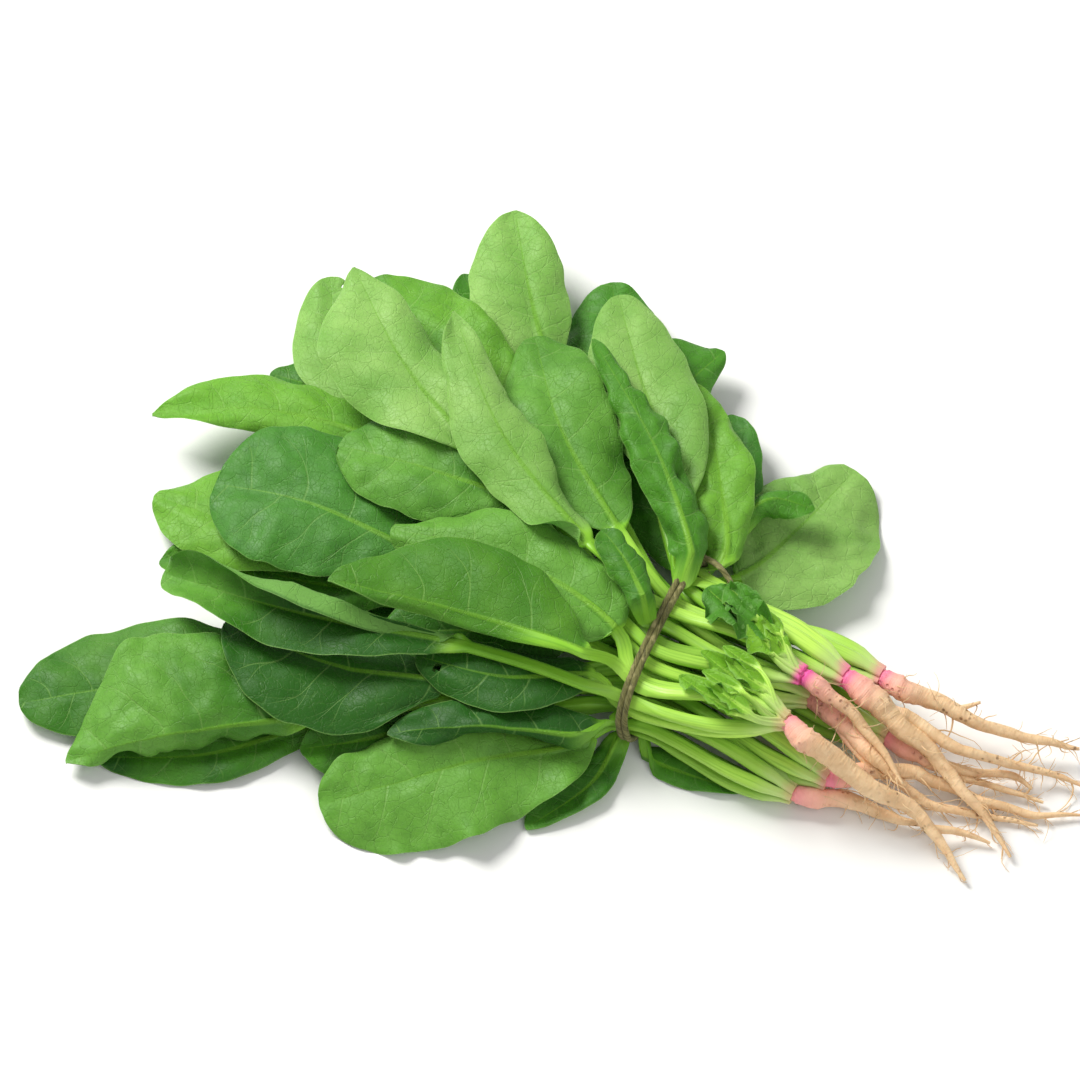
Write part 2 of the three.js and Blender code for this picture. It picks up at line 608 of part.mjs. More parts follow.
// Simplifying can pinch a sliver off a thin edge, so the largest body is taken once more.
function addNode(name, solid, colour, roughness) {
  const material = new THREE.MeshStandardMaterial({ color: colour, roughness, metalness: 0 });
  const mesh = new THREE.Mesh(geometryOf(largestBody(solid.simplify(SIMPLIFY))), material);
  mesh.name = name;
  group.add(mesh);
}

const placed = [];

function boxesMeet(a, b) {
  for (let i = 0; i < 3; i++) {
    if (a.min[i] > b.max[i] || b.min[i] > a.max[i]) return false;
  }
  return true;
}

// Takes a gap all round the pieces placed so far out of a new piece, and keeps its largest body.
function clearOfPlaced(solid, swollen) {
  const box = solid.boundingBox();
  let cut = solid;
  for (const other of placed) {
    if (boxesMeet(box, other.box)) cut = cut.subtract(other.solid);
  }
  placed.push({ solid: swollen, box: swollen.boundingBox() });
  return largestBody(cut);
}

const bandSolid = tieBand(0);
const bandSwollen = tieBand(CUT_GAP);
placed.push({ solid: bandSwollen, box: bandSwollen.boundingBox() });
addNode('tie_band', bandSolid, TIE_COLOUR, 0.9);

const rootNames = Object.keys(PLANTS);
for (const name of rootNames) {
  const solid = rootSolid(PLANTS[name], 0);
  addNode(`plant_${name}_root`, clearOfPlaced(solid, rootSolid(PLANTS[name], CUT_GAP)), ROOT_COLOUR, 0.7);
}

const pile = new HeightMap();
const leavesOn = {};
for (const row of LEAVES) {
  const leaf = withDefaults(row);
  const rings = leafRings(leaf, 0, pile);
  const solid = solidOf(loft(rings));
  const swollen = solidOf(loft(leafRings(leaf, CUT_GAP, pile)));
  const kept = clearOfPlaced(solid, swollen);
  leavesOn[leaf.plant] = (leavesOn[leaf.plant] ?? 0) + 1;
  addNode(`plant_${leaf.plant}_leaf_${leavesOn[leaf.plant]}`, kept, TONES[leaf.tone], 0.5);
  pile.cover(upperRows(rings));
}

addNode('tie_knot', clearOfPlaced(knot(), knot()), TIE_COLOUR, 0.9);

// The origin is under the middle of the bunch, on the surface that it lies on.
const box = new THREE.Box3().setFromObject(group);
const middle = box.getCenter(new THREE.Vector3());
group.position.set(-middle.x, -middle.y, -box.min.z);

export default group;
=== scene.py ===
# A bunch of eight spinach plants with their roots, lying down and held by one fibre tie.
# Each leaf, root and turn of the tie is grown from the same layout as its solid, in
# millimetres, and put down in metres in the solids' frame.

import math
from types import SimpleNamespace

import bpy
import numpy as np
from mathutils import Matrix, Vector


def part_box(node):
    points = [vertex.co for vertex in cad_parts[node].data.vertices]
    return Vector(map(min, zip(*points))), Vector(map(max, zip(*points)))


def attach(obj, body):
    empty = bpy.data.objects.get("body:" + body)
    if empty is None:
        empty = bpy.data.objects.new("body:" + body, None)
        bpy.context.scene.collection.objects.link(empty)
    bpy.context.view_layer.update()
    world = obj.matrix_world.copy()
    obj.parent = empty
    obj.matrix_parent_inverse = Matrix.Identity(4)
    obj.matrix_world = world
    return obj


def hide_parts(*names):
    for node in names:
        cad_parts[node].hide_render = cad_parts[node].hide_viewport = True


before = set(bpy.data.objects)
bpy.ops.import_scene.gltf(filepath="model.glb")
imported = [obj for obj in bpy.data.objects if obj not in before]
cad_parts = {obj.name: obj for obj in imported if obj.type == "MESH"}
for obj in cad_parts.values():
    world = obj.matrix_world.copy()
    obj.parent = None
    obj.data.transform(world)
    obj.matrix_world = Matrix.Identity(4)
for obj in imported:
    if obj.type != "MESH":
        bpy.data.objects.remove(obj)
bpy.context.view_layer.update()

bl_info = {
    "name": "Spinach bunch",
    "version": (1, 0, 0),
    "blender": (4, 5, 0),
    "location": "View3D > Sidebar > Spinach",
    "description": "Grows a tied bunch of spinach with its roots",
    "category": "Add Mesh",
}

# The layout. Places are written as seen from the front, looking down by LOOK_DOWN: how far to
# the right, how far up, and how high above the surface, in millimetres.

MM = 0.001
TURN = 2 * math.pi
LOOK_DOWN = math.radians(58)
HEADING = math.radians(-23)
UP = np.array([0.0, 0.0, 1.0])
TOWARDS_ROOTS = np.array([math.cos(HEADING), math.sin(HEADING), 0.0])
ACROSS = np.array([-math.sin(HEADING), math.cos(HEADING), 0.0])

# The tie, a squared oval that leans a little
TIE_PLACE = (46, -40, 17.5)
TIE_HALF_WIDTH = 36.5
TIE_HALF_HEIGHT = 16
TIE_SQUARENESS = 2.6
TIE_LEAN = 5
TIE_BAND_WIDTH = 4.4
TIE_BAND_THICK = 1.8
TIE_GRIP = 1.3

# Stalks. They stand in rings at the tie and round the crown, and are fullest above the crown.
STALK_RING_AT_TIE = 5.4
STALK_RING_AT_CROWN = 4.6
STALK_HALF_WIDTH = 2.35
STALK_HALF_WIDTH_AT_CROWN = 1.9
STALK_THICK = 4.0
STALK_FLANK = 0.75
STALK_NARROWS = (10, 50)
STALK_STOPS_SHORT = 1.2
STALK_LEAVES_TIE = 9
STALK_TURNS = 0.6
STALK_FULLNESS = 0.98
STALK_CHANNEL = 0.16
STALK_SWELL, STALK_SWELLS_TO = 0.5, (14, 42)
STALK_PINCH, STALK_PINCHED_TO = 0.82, (0, 14)
STALK_BOW, STALK_BOWS_OUT, STALK_BOWS_BACK = 2.2, (4, 26), (26, 58)
# How far the stalks close in on the crown, over what span, and crowd round young leaves.
CROWN_CLOSES, CROWN_CLOSES_TO = 0.48, (0, 10)
CROWN_CROWDS = 0.22

# Young leaves: slimmer, keeled and crumpled, and lying low between the old stalks.
YOUNG_STALK, YOUNG_SLIMS = 0.55, (4, 15)
YOUNG_BOW = -0.8
YOUNG_NESTLES = 0.4
YOUNG_RISES, YOUNG_ROOTED = 0.6, (1, 18)
YOUNG_WAVES = 0.3
YOUNG_KEEL = 34
YOUNG_CRUMPLES = 0.42
SPROUT_SIZES = (0.8, 0.7)
SPROUT_PLACES = ((4.5, -1.5, -1.2), (1.5, 4.5, -1.2))

# Blades, and how they lie on what is under them.
BASE_BLUNT = 0.72
FOLD_SPAN = (0.3, 0.58)
HIDDEN_FINENESS = 0.6
SOLID_BLADE_THICK = 1.2
SOLID_MIDRIB_THICK = 2.4
RIB_DEEP = (1.9, 0.3)
RIB_HIGH = 1.5
RIB_GROOVE = 0.8
VEINS_ON_BLADE = 5.2
VEIN_SPACING = (7, 20)
EDGE_WAVE = (30, 52)
EDGE_UNEVEN = 0.022
# How far the side veins and the surface run in and out, and over what length.
VEINS_BEND, VEINS_WANDER = (2.2, 48), (0.5, 17)
PILLOWS_VARY = (0.45, 34)
CRUMPLES = ((0.13, 7.5), (0.36, 15), (2.3, 60))
RING_ON_STALK = 3.2
RING_ON_BLADE = 1.5
COLUMN = 1.1
PILE_LOFT = 1.3
LEAF_CLEARANCE = 0.9
FINE_CLEARANCE = 0.35
HIGHEST_RISE = 6
DRAPE_REACH = 34
DRAPE_RAMP = (4, 26)
FLOOR_CLEARANCE = 0.7
FLOOR_AT = 0.65
COARSE_CELL = 3
FINE_CELL = 1.5

# Roots
ROOT_RING = 0.8
ROOT_NECK = 0.3
ROOT_NECK_REACH = 10.0
DOME_RISE = np.array([3.4, 3.1, 2.5, 1.6, 0.7])
DOME_SHARE = np.array([0.2, 0.45, 0.65, 0.76, 0.82])
ROOTLET_POINTS = 8
ROOTLET_LONG = (3, 13)
ROOTLET_RADIUS = (0.16, 0.42)
ROOTLET_TIP = 0.07
ROOTLET_SKIN = (60.0, 0.0, 0.3)

# The knot, and its loose ends' points towards the roots, across and high
KNOT_ANGLE = math.radians(38)
KNOT_HEIGHT = 2.4
LOOSE_ENDS = (((5, 0.5, 2), (10, -1, 2.5), (15, -4, 1.5), (19, -8, 0.5)),
              ((-3, 1, 2), (-6, 2, 2), (-9, 2, 1)))

# The stage
CAMERA_LENS = 500.0
CAMERA_SENSOR = 36.0
FRAME_WIDTH = 1080 / 2.8 * MM * 1.002
CAMERA_CLIP = (0.05, 50)
FLOOR_SIZE = 8
DAYLIGHT = 0.37
# Each light's place, size, watts and colour.
LIGHTS = {"key": ((-0.8, 0.75, 1.2), 0.8, 32.0, (1.0, 0.99, 0.96)),
          "fill": ((0.6, -0.9, 1.0), 1.4, 6.0, (1, 1, 1))}

# How much clear gloss lies on each tone of leaf.
TONES = {"pale": 0.04, "fresh": 0.08, "mid": 0.08, "deep": 0.14}
# How pink each plant's crown is.
CROWN_RED = {1: 0.3, 2: 0.1, 3: 1.0, 4: 0.75, 5: 0.25, 6: 0.5, 7: 0.35, 8: 0.6}


def plant(tie, root, *forks):
    """Where a plant's stalks pass the tie, across and high, and its root's and forks' points,
    each right, up, height and radius."""
    return SimpleNamespace(tie=tie, root=root, forks=forks)


def leaf(of_plant, slot, base, middle, tip, half, tone, **more):
    """A leaf's place in the tie, its midrib's three points, half-widths and tone. left and right
    are a half's slope at the rib and its turn on the way to the edge, in degrees. A notch is its
    side, its place along the blade, depth and reach, a fold its side, place, reach and turn, and
    a hole its place along and across and its radius. bright makes a whole leaf lighter or darker:
    partly its own tone, and below nought painted shade on a leaf lying in the shade of those
    above. tip_bright lightens it towards the tip, which lies out of that painted shade."""
    row = dict(ring=slot, peak=0.48, blunt=0.55, left=(6, -24), right=(6, -24), young=False,
               foot=BASE_BLUNT, ruffle=1.0, pucker=1.0, hidden=False, cool=0.0, bright=0.0,
               tip_bright=0.0, notches=(), folds=(), hole=None)
    row.update(more, plant=of_plant, slot=slot, base=base, middle=middle, tip=tip, half=half,
               tone=tone)
    return SimpleNamespace(**row)


PLANTS = {
    1: plant((-25.5, 25),
             [(88, -64.5, 30, 5), (92, -69, 30, 4.7), (100, -74.5, 28, 4.1),
              (116, -86, 20, 3.5), (131, -95.5, 12, 2.7), (141, -107, 7, 1.8),
              (150, -120, 3, 0.6)],
             [(138, -102, 8, 1.7), (148, -103, 5, 1.4), (159, -107, 3, 0.5)]),
    2: plant((-8.5, 25),
             [(96.5, -56.5, 17, 4.8), (102, -60.5, 17.5, 4.5), (110, -67.5, 17, 3.8),
              (118.5, -77, 16, 2.9), (124, -82, 14.5, 2), (129, -87, 13, 0.6)],
             [(104, -63, 17, 2), (112, -75, 14, 1.7), (121, -83, 12, 0.6)]),
    3: plant((8.5, 25),
             [(94, -48.5, 32, 4.8), (98, -51.5, 31, 3.9), (104, -56, 29, 2.5),
              (112, -62.5, 25, 2.1), (121, -74, 20, 1.5), (128, -86, 16, 0.5)]),
    4: plant((25.5, 25),
             [(109, -49, 27, 5.4), (114, -53, 26, 5.2), (120, -58, 24, 4.6),
              (126, -65, 21, 3.8), (138, -74, 16, 3), (147, -86, 11, 2.3), (157, -97, 7, 1.6),
              (166, -112, 3, 0.5)],
             [(122, -60, 23, 2.6), (131, -63, 21, 2.4), (148, -74, 16, 2.1),
              (167, -79.5, 10, 1.6), (182, -83, 6, 1.2), (192, -87, 4, 0.5)]),
    5: plant((-25.5, 11),
             [(91, -90, 7.5, 4.8), (96, -91, 7.2, 4.4), (103, -92, 6.4, 3.3),
              (116, -95, 5, 2.5), (128, -99, 4, 1.6), (137, -101, 3, 0.5)]),
    6: plant((-8.5, 11),
             [(103, -84.5, 12, 4.9), (108, -83.5, 12, 4.3), (117, -81.5, 11, 3.2),
              (130, -82, 9, 2.7), (140, -85.5, 7, 2.3), (156, -92, 5, 1.9),
              (173, -97, 3.5, 1.4), (192, -97.5, 2.5, 0.5)],
             [(125, -84, 9, 1.8), (138, -93.5, 5, 1.7), (158, -97.5, 3.5, 1.3),
              (176, -101, 2.5, 0.5)]),
    7: plant((8.5, 11),
             [(124, -70.5, 7, 4.8), (129, -73.5, 8, 4.2), (135, -77, 9.5, 2.8),
              (144, -80.5, 8, 2), (153, -82, 7, 1.7), (169, -84.5, 5, 1.2), (174, -88, 4, 0.5)],
             [(138, -79, 8.5, 1.6), (148, -84, 6, 1.4), (167, -89, 4, 1.1), (178, -93, 3, 0.5)]),
    8: plant((25.5, 11),
             [(122, -49, 20, 5), (127, -52, 20, 4.6), (135, -55, 19, 3.5), (149, -62, 16, 2.7),
              (165, -68, 12, 2), (183, -72.5, 9, 1.4), (191, -74, 8, 0.6)],
             [(146, -60.5, 16.5, 1.4), (156, -57.5, 17.5, 0.5)]),
}
LEAVES = [
    leaf(5, 4, (30, -73, 3), (50, -82, 2), (72, -89, 2), (9, 6), "deep"),
    leaf(6, 4, (-21, -54, 5), (-50, -55, 4), (-79, -55, 3), (16, 16), "deep", hidden=True),
    leaf(7, 3, (-7, -22, 6), (-50, -22, 5), (-89, -18, 4), (19, 19), "deep", hidden=True),
    leaf(7, 4, (-14, -7, 6), (-50, 14, 5), (-86, 32, 4), (20, 20), "deep", hidden=True),
    leaf(8, 3, (16, -14, 6), (-24, 24, 5), (-57, 61, 4), (22, 22), "deep", hidden=True),
    leaf(8, 4, (34, -8, 6), (16, 35, 5), (4, 75, 4), (22, 22), "deep", hidden=True),
    leaf(8, 1, (52, -12, 8), (43, 20, 7), (36, 50, 5), (18, 18), "deep", hidden=True),
    leaf(5, 0, (-73, -65, 4), (-120, -76, 3), (-158, -77, 2), (12, 14), "deep"),
    leaf(5, 3, (27, -73, 4), (18, -86, 3), (-5, -102, 2), (7, 12), "deep"),
    leaf(5, 5, (-39, -68, 4), (-64, -73, 4), (-85, -76, 3), (15, 11), "deep"),
    leaf(6, 3, (-78, -50, 9), (-148, -52, 7), (-185, -58, 4), (20, 27), "mid", blunt=0.45,
         left=(4, -22), right=(6, -20), bright=-0.35),
    leaf(8, 5, (71, -13, 12), (92, 4, 8), (113, 25, 4), (22, 30), "pale", peak=0.44, blunt=0.42,
         foot=0.5, left=(8, -24), right=(8, -24), pucker=1.5, ruffle=1.3),
    leaf(7, 5, (-43, 36, 9), (-75, 53, 8), (-97, 60, 6), (10, 13), "deep"),
    leaf(8, 2, (11, 25, 10), (-14, 68, 10), (-28, 96, 8), (14, 14), "deep"),
    leaf(4, 4, (41, 21, 10), (30, 61, 11), (26, 93, 8), (24, 19), "deep", blunt=0.45,
         left=(6, -24), right=(6, -24), cool=0.4, bright=1.0),
    leaf(8, 0, (61, -4, 12), (67, 21, 11), (69, 45, 8), (12, 13), "deep", cool=0.7, bright=0.8),
    leaf(4, 3, (50, 18, 14), (51, 52, 14), (66, 68, 11), (27, 9), "deep", left=(6, -20),
         right=(4, -30), cool=0.3, bright=1.0),
    leaf(2, 5, (-39, 36, 10), (-71, 66, 11), (-76, 95, 9), (17, 17), "pale", blunt=0.45,
         notches=((1, 0.93, 0.55, 0.025), (1, 0.83, 0.14, 0.03))),
    leaf(7, 1, (-79, -18, 7), (-114, -9, 6), (-136, -8, 4), (9, 11), "fresh"),
    leaf(6, 5, (-43, -21, 9), (-82, -16, 8), (-102, -12, 6), (12, 10), "deep"),
    leaf(7, 0, (-71, -9, 10), (-112, 7, 10), (-138, 16, 7), (18, 23), "fresh", blunt=0.48,
         bright=0.8),
    leaf(6, 0, (0, -52, 12), (-30, -54, 11), (-55, -56, 9), (13, 13), "deep", hidden=True),
    leaf(7, 2, (12, -36, 14), (-25, -33, 12), (-57, -34, 10), (18, 18), "deep", hidden=True),
    leaf(5, 2, (18, -71, 8), (-30, -81, 8), (-78, -95, 3), (28, 19), "mid", peak=0.6, blunt=0.42,
         foot=0.42, left=(4, -18), right=(8, -20), ruffle=2.0, pucker=0.8, cool=-0.1, bright=1.0),
    leaf(6, 2, (-75, -62, 12), (-128, -71, 9), (-168, -79, 4), (11, 43), "mid", peak=0.5,
         blunt=0.8, left=(-70, -30), right=(26, -34), pucker=2.2, bright=-0.1, tip_bright=1.4),
    leaf(2, 4, (-50, 31, 15), (-98, 47, 16), (-139, 45, 13), (9, 17), "fresh", blunt=0.75,
         left=(2, -24), right=(6, -28), ruffle=1.5, bright=0.6),
    leaf(2, 3, (-36, -9, 18), (-81, 13, 20), (-116, 20, 14), (28, 32), "deep", peak=0.54,
         blunt=0.38, left=(4, -26), right=(6, -22), cool=0.7, bright=0.8),
    leaf(3, 5, (5, 58, 17), (-4, 91, 18), (-9, 119, 17), (22, 15), "pale", ring=4, blunt=0.62,
         left=(6, -22), right=(6, -22), pucker=0.6, ruffle=0.6),
    leaf(2, 0, (-4, 21, 17), (-39, 70, 18), (-61, 94, 14), (15, 24), "fresh", left=(4, -20),
         right=(6, -28)),
    leaf(5, 1, (25, -68, 14), (-18, -70, 13), (-54, -70, 11), (8, 13), "deep", left=(-70, -30),
         right=(14, -24), bright=-1.0),
    leaf(6, 1, (-32, -51, 15), (-79, -43, 15), (-112, -31, 12), (28, 17), "mid", left=(2, -22),
         right=(8, -16), ruffle=0.7, pucker=0.7, bright=-0.9, folds=((1, 0.9, 0.1, 120),)),
    leaf(4, 0, (70, 7, 19), (82, 15, 20), (98, 11, 17), (7, 8), "deep", left=(-20, -60),
         right=(-20, -60), bright=1.0),
    leaf(4, 5, (65, -7, 21), (64, 24, 22), (56, 56, 18), (13, 11), "fresh", foot=0.5,
         left=(10, -40), right=(10, -44), pucker=2.2, bright=0.8),
    leaf(4, 2, (52, 14, 22), (37, 55, 24), (28, 88, 20), (18, 19), "pale", blunt=0.48,
         left=(10, -24), right=(6, -24), pucker=0.5),
    leaf(3, 0, (29, 2, 24), (7, 41, 26), (-2, 73, 22), (19, 21), "mid", ring=5, blunt=0.42,
         left=(6, -20), right=(6, -22), pucker=0.7, bright=0.15),
    leaf(1, 3, (20, -49, 20), (-14, -48, 22), (-44, -41, 20), (14, 14), "mid", ring=4,
         blunt=0.48, bright=-0.9, hole=(0.86, -0.4, 1.7)),
    leaf(2, 2, (-4, 10, 24), (-38, 25, 26), (-72, 33, 21), (20, 22), "mid", peak=0.54, blunt=0.4,
         foot=0.55, left=(4, -24), right=(6, -16), pucker=1.3, cool=0.2, bright=0.5),
    leaf(2, 1, (-20, 27, 27), (-49, 64, 29), (-67, 98, 26), (26, 15), "pale", peak=0.56, blunt=0.82,
         foot=0.95, left=(4, -22), right=(6, -22), pucker=0.6),
    leaf(1, 2, (-21, -39, 24), (-84, -26, 24), (-134, -12, 17), (15, 19), "mid", ring=3,
         peak=0.55, blunt=0.36, left=(4, 10), right=(26, 60), folds=((1, 0.25, 0.56, 112),),
         pucker=0.7, bright=-1.0, tip_bright=1.5),
    leaf(4, 1, (54, -7, 28), (43, 29, 31), (19, 72, 29), (11, 12), "deep", peak=0.32,
         foot=0.85, bright=0.9, left=(-4, -40), right=(-4, -40), pucker=3.4),
    leaf(1, 0, (27, -32, 28), (-12, -5, 30), (-53, 4, 26), (20, 18), "mid", ring=5, peak=0.42,
         blunt=0.45, foot=0.5, left=(4, -20), right=(8, -24), ruffle=1.4, cool=-0.1, bright=1.1),
    leaf(3, 1, (18, -2, 32), (-14, 39, 34), (-31, 82, 32), (17, 12), "pale", ring=0, blunt=0.8,
         foot=0.55, left=(-2, -34), right=(-4, -40), pucker=0.5, folds=((0, 0.06, 0.09, 150),)),
    leaf(3, 2, (39, -26, 33), (31, -9, 35), (22, 3, 33), (9, 9), "fresh", ring=3,
         left=(10, -60), right=(10, -60), ruffle=3.5, pucker=2.5, bright=-0.3),
    leaf(1, 1, (18, -41, 33), (-32, -24, 35), (-75, -17, 32), (6, 30), "fresh", ring=0,
         peak=0.46, blunt=0.72, foot=1.05, left=(-60, -20), right=(14, -30), pucker=0.6,
         cool=-0.2, bright=-0.4),
    leaf(3, 0, (77, -37, 35), (68, -26, 36), (59, -17, 35), (9, 9), "deep", ring=2, young=True,
         ruffle=3.5, pucker=3.0, bright=0.9),
    leaf(3, 0, (84, -42, 35), (79, -36, 36), (73, -28, 35), (5, 5), "fresh", ring=1, young=True,
         ruffle=6.0, pucker=3.5, cool=-1.0, bright=1.4),
    leaf(1, 0, (77, -54, 35), (67, -47, 36), (57, -39, 35), (5, 5), "fresh", ring=1, young=True,
         ruffle=6.0, pucker=3.5, cool=-1.0, bright=1.0),
    leaf(1, 0, (71, -63, 35), (60, -56, 36), (49, -48, 35), (5, 5), "fresh", ring=2, young=True,
         ruffle=6.0, pucker=3.5, cool=-0.8, bright=0.8),
]


# Curves and fields


def unit(v):
    return v / np.maximum(np.linalg.norm(v, axis=-1, keepdims=True), 1e-9)


def run_along(points):
    """How far along a line each of its points is."""
    return np.concatenate([[0], np.cumsum(np.linalg.norm(np.diff(points, axis=0), axis=1))])


def smoothstep(x, low, high):
    t = np.clip((x - low) / (high - low), 0, 1)
    return t * t * (3 - 2 * t)


def lerp(a, b, t):
    return a + (b - a) * t


def place(point):
    right, up, height = point[:3]
    return np.array([right, (up - height * math.cos(LOOK_DOWN)) / math.sin(LOOK_DOWN), height])


class Curve:
    """A centripetal Catmull-Rom curve through points, from 0 to 1."""

    def __init__(self, points):
        p = np.asarray(points, float)
        self.points = np.vstack([2 * p[0] - p[1], p, 2 * p[-1] - p[-2]])
        self.spans = len(p) - 1

    def at(self, t):
        u = np.clip(np.asarray(t, float), 0, 1) * self.spans
        i = np.minimum(u.astype(int), self.spans - 1)
        w = (u - i)[:, None]
        a, b, c, d = (self.points[i + k] for k in range(4))
        ab, bc, cd = (np.sum((q - p) ** 2, -1, keepdims=True) ** 0.25
                      for p, q in ((a, b), (b, c), (c, d)))
        m = ((b - a) / ab - (c - a) / (ab + bc) + (c - b) / bc) * bc
        n = ((c - b) / bc - (d - b) / (bc + cd) + (d - c) / cd) * bc
        return b + m * w + (3 * (c - b) - 2 * m - n) * w ** 2 + (2 * (b - c) + m + n) * w ** 3

    def tangent(self, t):
        step = 1e-4
        return unit(self.at(np.minimum(t + step, 1)) - self.at(np.maximum(t - step, 0)))


class Ripple:
    """A smooth random field over a surface: a few waves of about one length, in any direction."""

    WAVES = 7

    def __init__(self, rng, length):
        turn = rng.uniform(0, TURN, self.WAVES)
        k = TURN / (length * rng.uniform(0.7, 1.5, self.WAVES))
        self.kx, self.ky = k * np.cos(turn), k * np.sin(turn)
        self.phase = rng.uniform(0, TURN, self.WAVES)

    def __call__(self, x, y):
        waves = [np.sin(kx * x + ky * y + p) for kx, ky, p in zip(self.kx, self.ky, self.phase)]
        return sum(waves) / math.sqrt(self.WAVES)


class Pile:
    """How high the pile stands over each cell of the surface."""

    WIDE, DEEP = 480, 400
    EMPTY = -1e3

    def __init__(self, cell):
        self.cell = cell
        self.high = np.full((int(self.WIDE / cell), int(self.DEEP / cell)), self.EMPTY)

    def cells(self, p):
        i = np.floor(p[..., 0] / self.cell + 0.5).astype(int) + self.high.shape[0] // 2
        j = np.floor(p[..., 1] / self.cell + 0.5).astype(int) + self.high.shape[1] // 2
        return (np.clip(i, 0, self.high.shape[0] - 1), np.clip(j, 0, self.high.shape[1] - 1))

    def at(self, p):
        return self.high[self.cells(p)]

    def cover(self, rows, steps):
        """Raises the pile to a surface given as rows of points, filled in between."""
        for s in np.linspace(0, 1, steps + 1):
            near = lerp(rows[:-1], rows[1:], s)
            for t in np.linspace(0, 1, steps + 1):
                p = lerp(near[:, :-1], near[:, 1:], t)
                np.maximum.at(self.high, self.cells(p), p[..., 2])


# The leaves' layout, as in their solids

TIE_CENTRE = place(TIE_PLACE)


def slot_offset(slot, ring):
    """The way from the middle of a ring of six stalks to one of them."""
    angle = math.radians(60 * slot + 30)
    return ACROSS * (ring * math.cos(angle)) + UP * (ring * math.sin(angle))


def tie_slot(row):
    """Where a stalk passes the tie."""
    across, height = PLANTS[row.plant].tie
    p = TIE_CENTRE + ACROSS * across
    p[2] = height
    return p + slot_offset(row.slot, STALK_RING_AT_TIE)


def crown_ring(row):
    """A stalk's place round its crown. Old stalks close up round the young leaves."""
    gap = (1.5 - row.ring + 3) % 6 - 3
    crowded = any(other.young and other.plant == row.plant for other in LEAVES)
    return row.ring + CROWN_CROWDS * gap if crowded and not row.young else row.ring


def crown_slot(row):
    """Where a stalk starts, just behind its crown."""
    collar, following = (place(p) for p in PLANTS[row.plant].root[:2])
    outwards = unit(following - collar)
    return (collar - outwards * STALK_STOPS_SHORT
            + slot_offset(crown_ring(row), STALK_RING_AT_CROWN))


def midrib(row):
    """A leaf's middle line, from its crown by way of the tie to the blade's tip."""
    points = [crown_slot(row)]
    loft = 1 if row.young else PILE_LOFT
    blade = [place((right, up, height * loft))
             for right, up, height in (row.base, row.middle, row.tip)]
    if not row.young:
        slot = tie_slot(row)
        to_blade = blade[0] - slot
        reach = min(STALK_LEAVES_TIE, 0.6 * np.linalg.norm(to_blade))
        leaving = unit(lerp(-TOWARDS_ROOTS, unit(to_blade), STALK_TURNS))
        points += [slot, slot + leaving * reach]
    return Curve(points + blade)


def outline(row, along):
    """A blade's half-width as a share of its widest."""
    power = math.log(0.5) / math.log(row.peak)
    exponent = lerp(row.foot, row.blunt, smoothstep(along, 0.3, 0.8))
    return np.clip(np.sin(math.pi * along ** power), 0, 1) ** exponent


def spine(row, t, along):
    """The sections of a leaf at t on its midrib, along being how far along the blade."""
    curve = midrib(row)
    centre, forwards = curve.at(t), curve.tangent(t)
    leftwards = unit(np.cross(UP, forwards))
    up = unit(np.cross(forwards, leftwards))
    on_blade = np.where(along > 0, outline(row, along), 0)
    near_crown = smoothstep((centre - TIE_CENTRE) @ TOWARDS_ROOTS, *STALK_NARROWS)
    stalk = lerp(STALK_HALF_WIDTH, STALK_HALF_WIDTH_AT_CROWN, near_crown)
    width = np.maximum(np.outer(on_blade, row.half), (stalk * (1 - 0.75 * along))[:, None])
    on = smoothstep(width, stalk[:, None], 3.5 * stalk[:, None])
    bends = np.array([row.left, row.right], float)
    thick = STALK_THICK * stalk / STALK_HALF_WIDTH
    rib = lerp(thick, SOLID_MIDRIB_THICK, smoothstep(along, 0, 0.3))
    middle = lerp(rib, SOLID_BLADE_THICK, smoothstep(along, 0.3, 1))
    flank = lerp(thick * STALK_FLANK, SOLID_BLADE_THICK, smoothstep(on_blade, 0.02, 0.3))
    fold = np.zeros_like(width)
    for side, at, reach, degrees in row.folds:
        fold[:, side] += degrees * np.exp(-((along - at) / reach) ** 2) * on[:, side]
    return SimpleNamespace(centre=centre, forwards=forwards, leftwards=leftwards, up=up,
                           stalk=stalk, width=width, slope=on * bends[:, 0],
                           turn=on * bends[:, 1], fold=fold, thick=thick,
                           tops=np.stack([0 * flank, flank, middle, flank, 0 * flank], 1) / 2)


def surface(st, share, steps=4, folded=0.0):
    """The middle surface at signed shares of the way to the edges, left being negative."""
    side = (share[0] > 0).astype(int)
    sign = np.where(side == 1, -1.0, 1.0)
    width, slope, turn = st.width[:, side], st.slope[:, side], st.turn[:, side]
    fold = st.fold[:, side] * folded
    share = np.abs(share)
    p = np.repeat(st.centre[:, None], share.shape[1], 1)
    for i in range(steps):
        so_far = share * (i + 0.5) / steps
        angle = np.radians(slope + turn * so_far + fold * smoothstep(so_far, *FOLD_SPAN))
        step = width * share / steps
        p += (sign * step * np.cos(angle))[..., None] * st.leftwards[:, None]
        p += (step * np.sin(angle))[..., None] * st.up[:, None]
    tilt = np.radians((slope + turn * share) * smoothstep(share * width, 0, 2.5)
                      + fold * smoothstep(share, *FOLD_SPAN))
    normal = (np.cos(tilt)[..., None] * st.up[:, None]
              - (sign * np.sin(tilt))[..., None] * st.leftwards[:, None])
    return p, normal


def coarse_spine(row):
    """The few sections that the leaf's solid has."""
    spans = [2] if row.young else [2, 1, 2]
    total = len(spans) + 2
    t = [(span + i / count) / total for span, count in enumerate(spans) for i in range(count)]
    along = np.arange(8) / 7 * 0.985
    return spine(row, np.array(t + list((len(spans) + 2 * along) / total)),
                 np.concatenate([np.zeros(len(t)), along]))


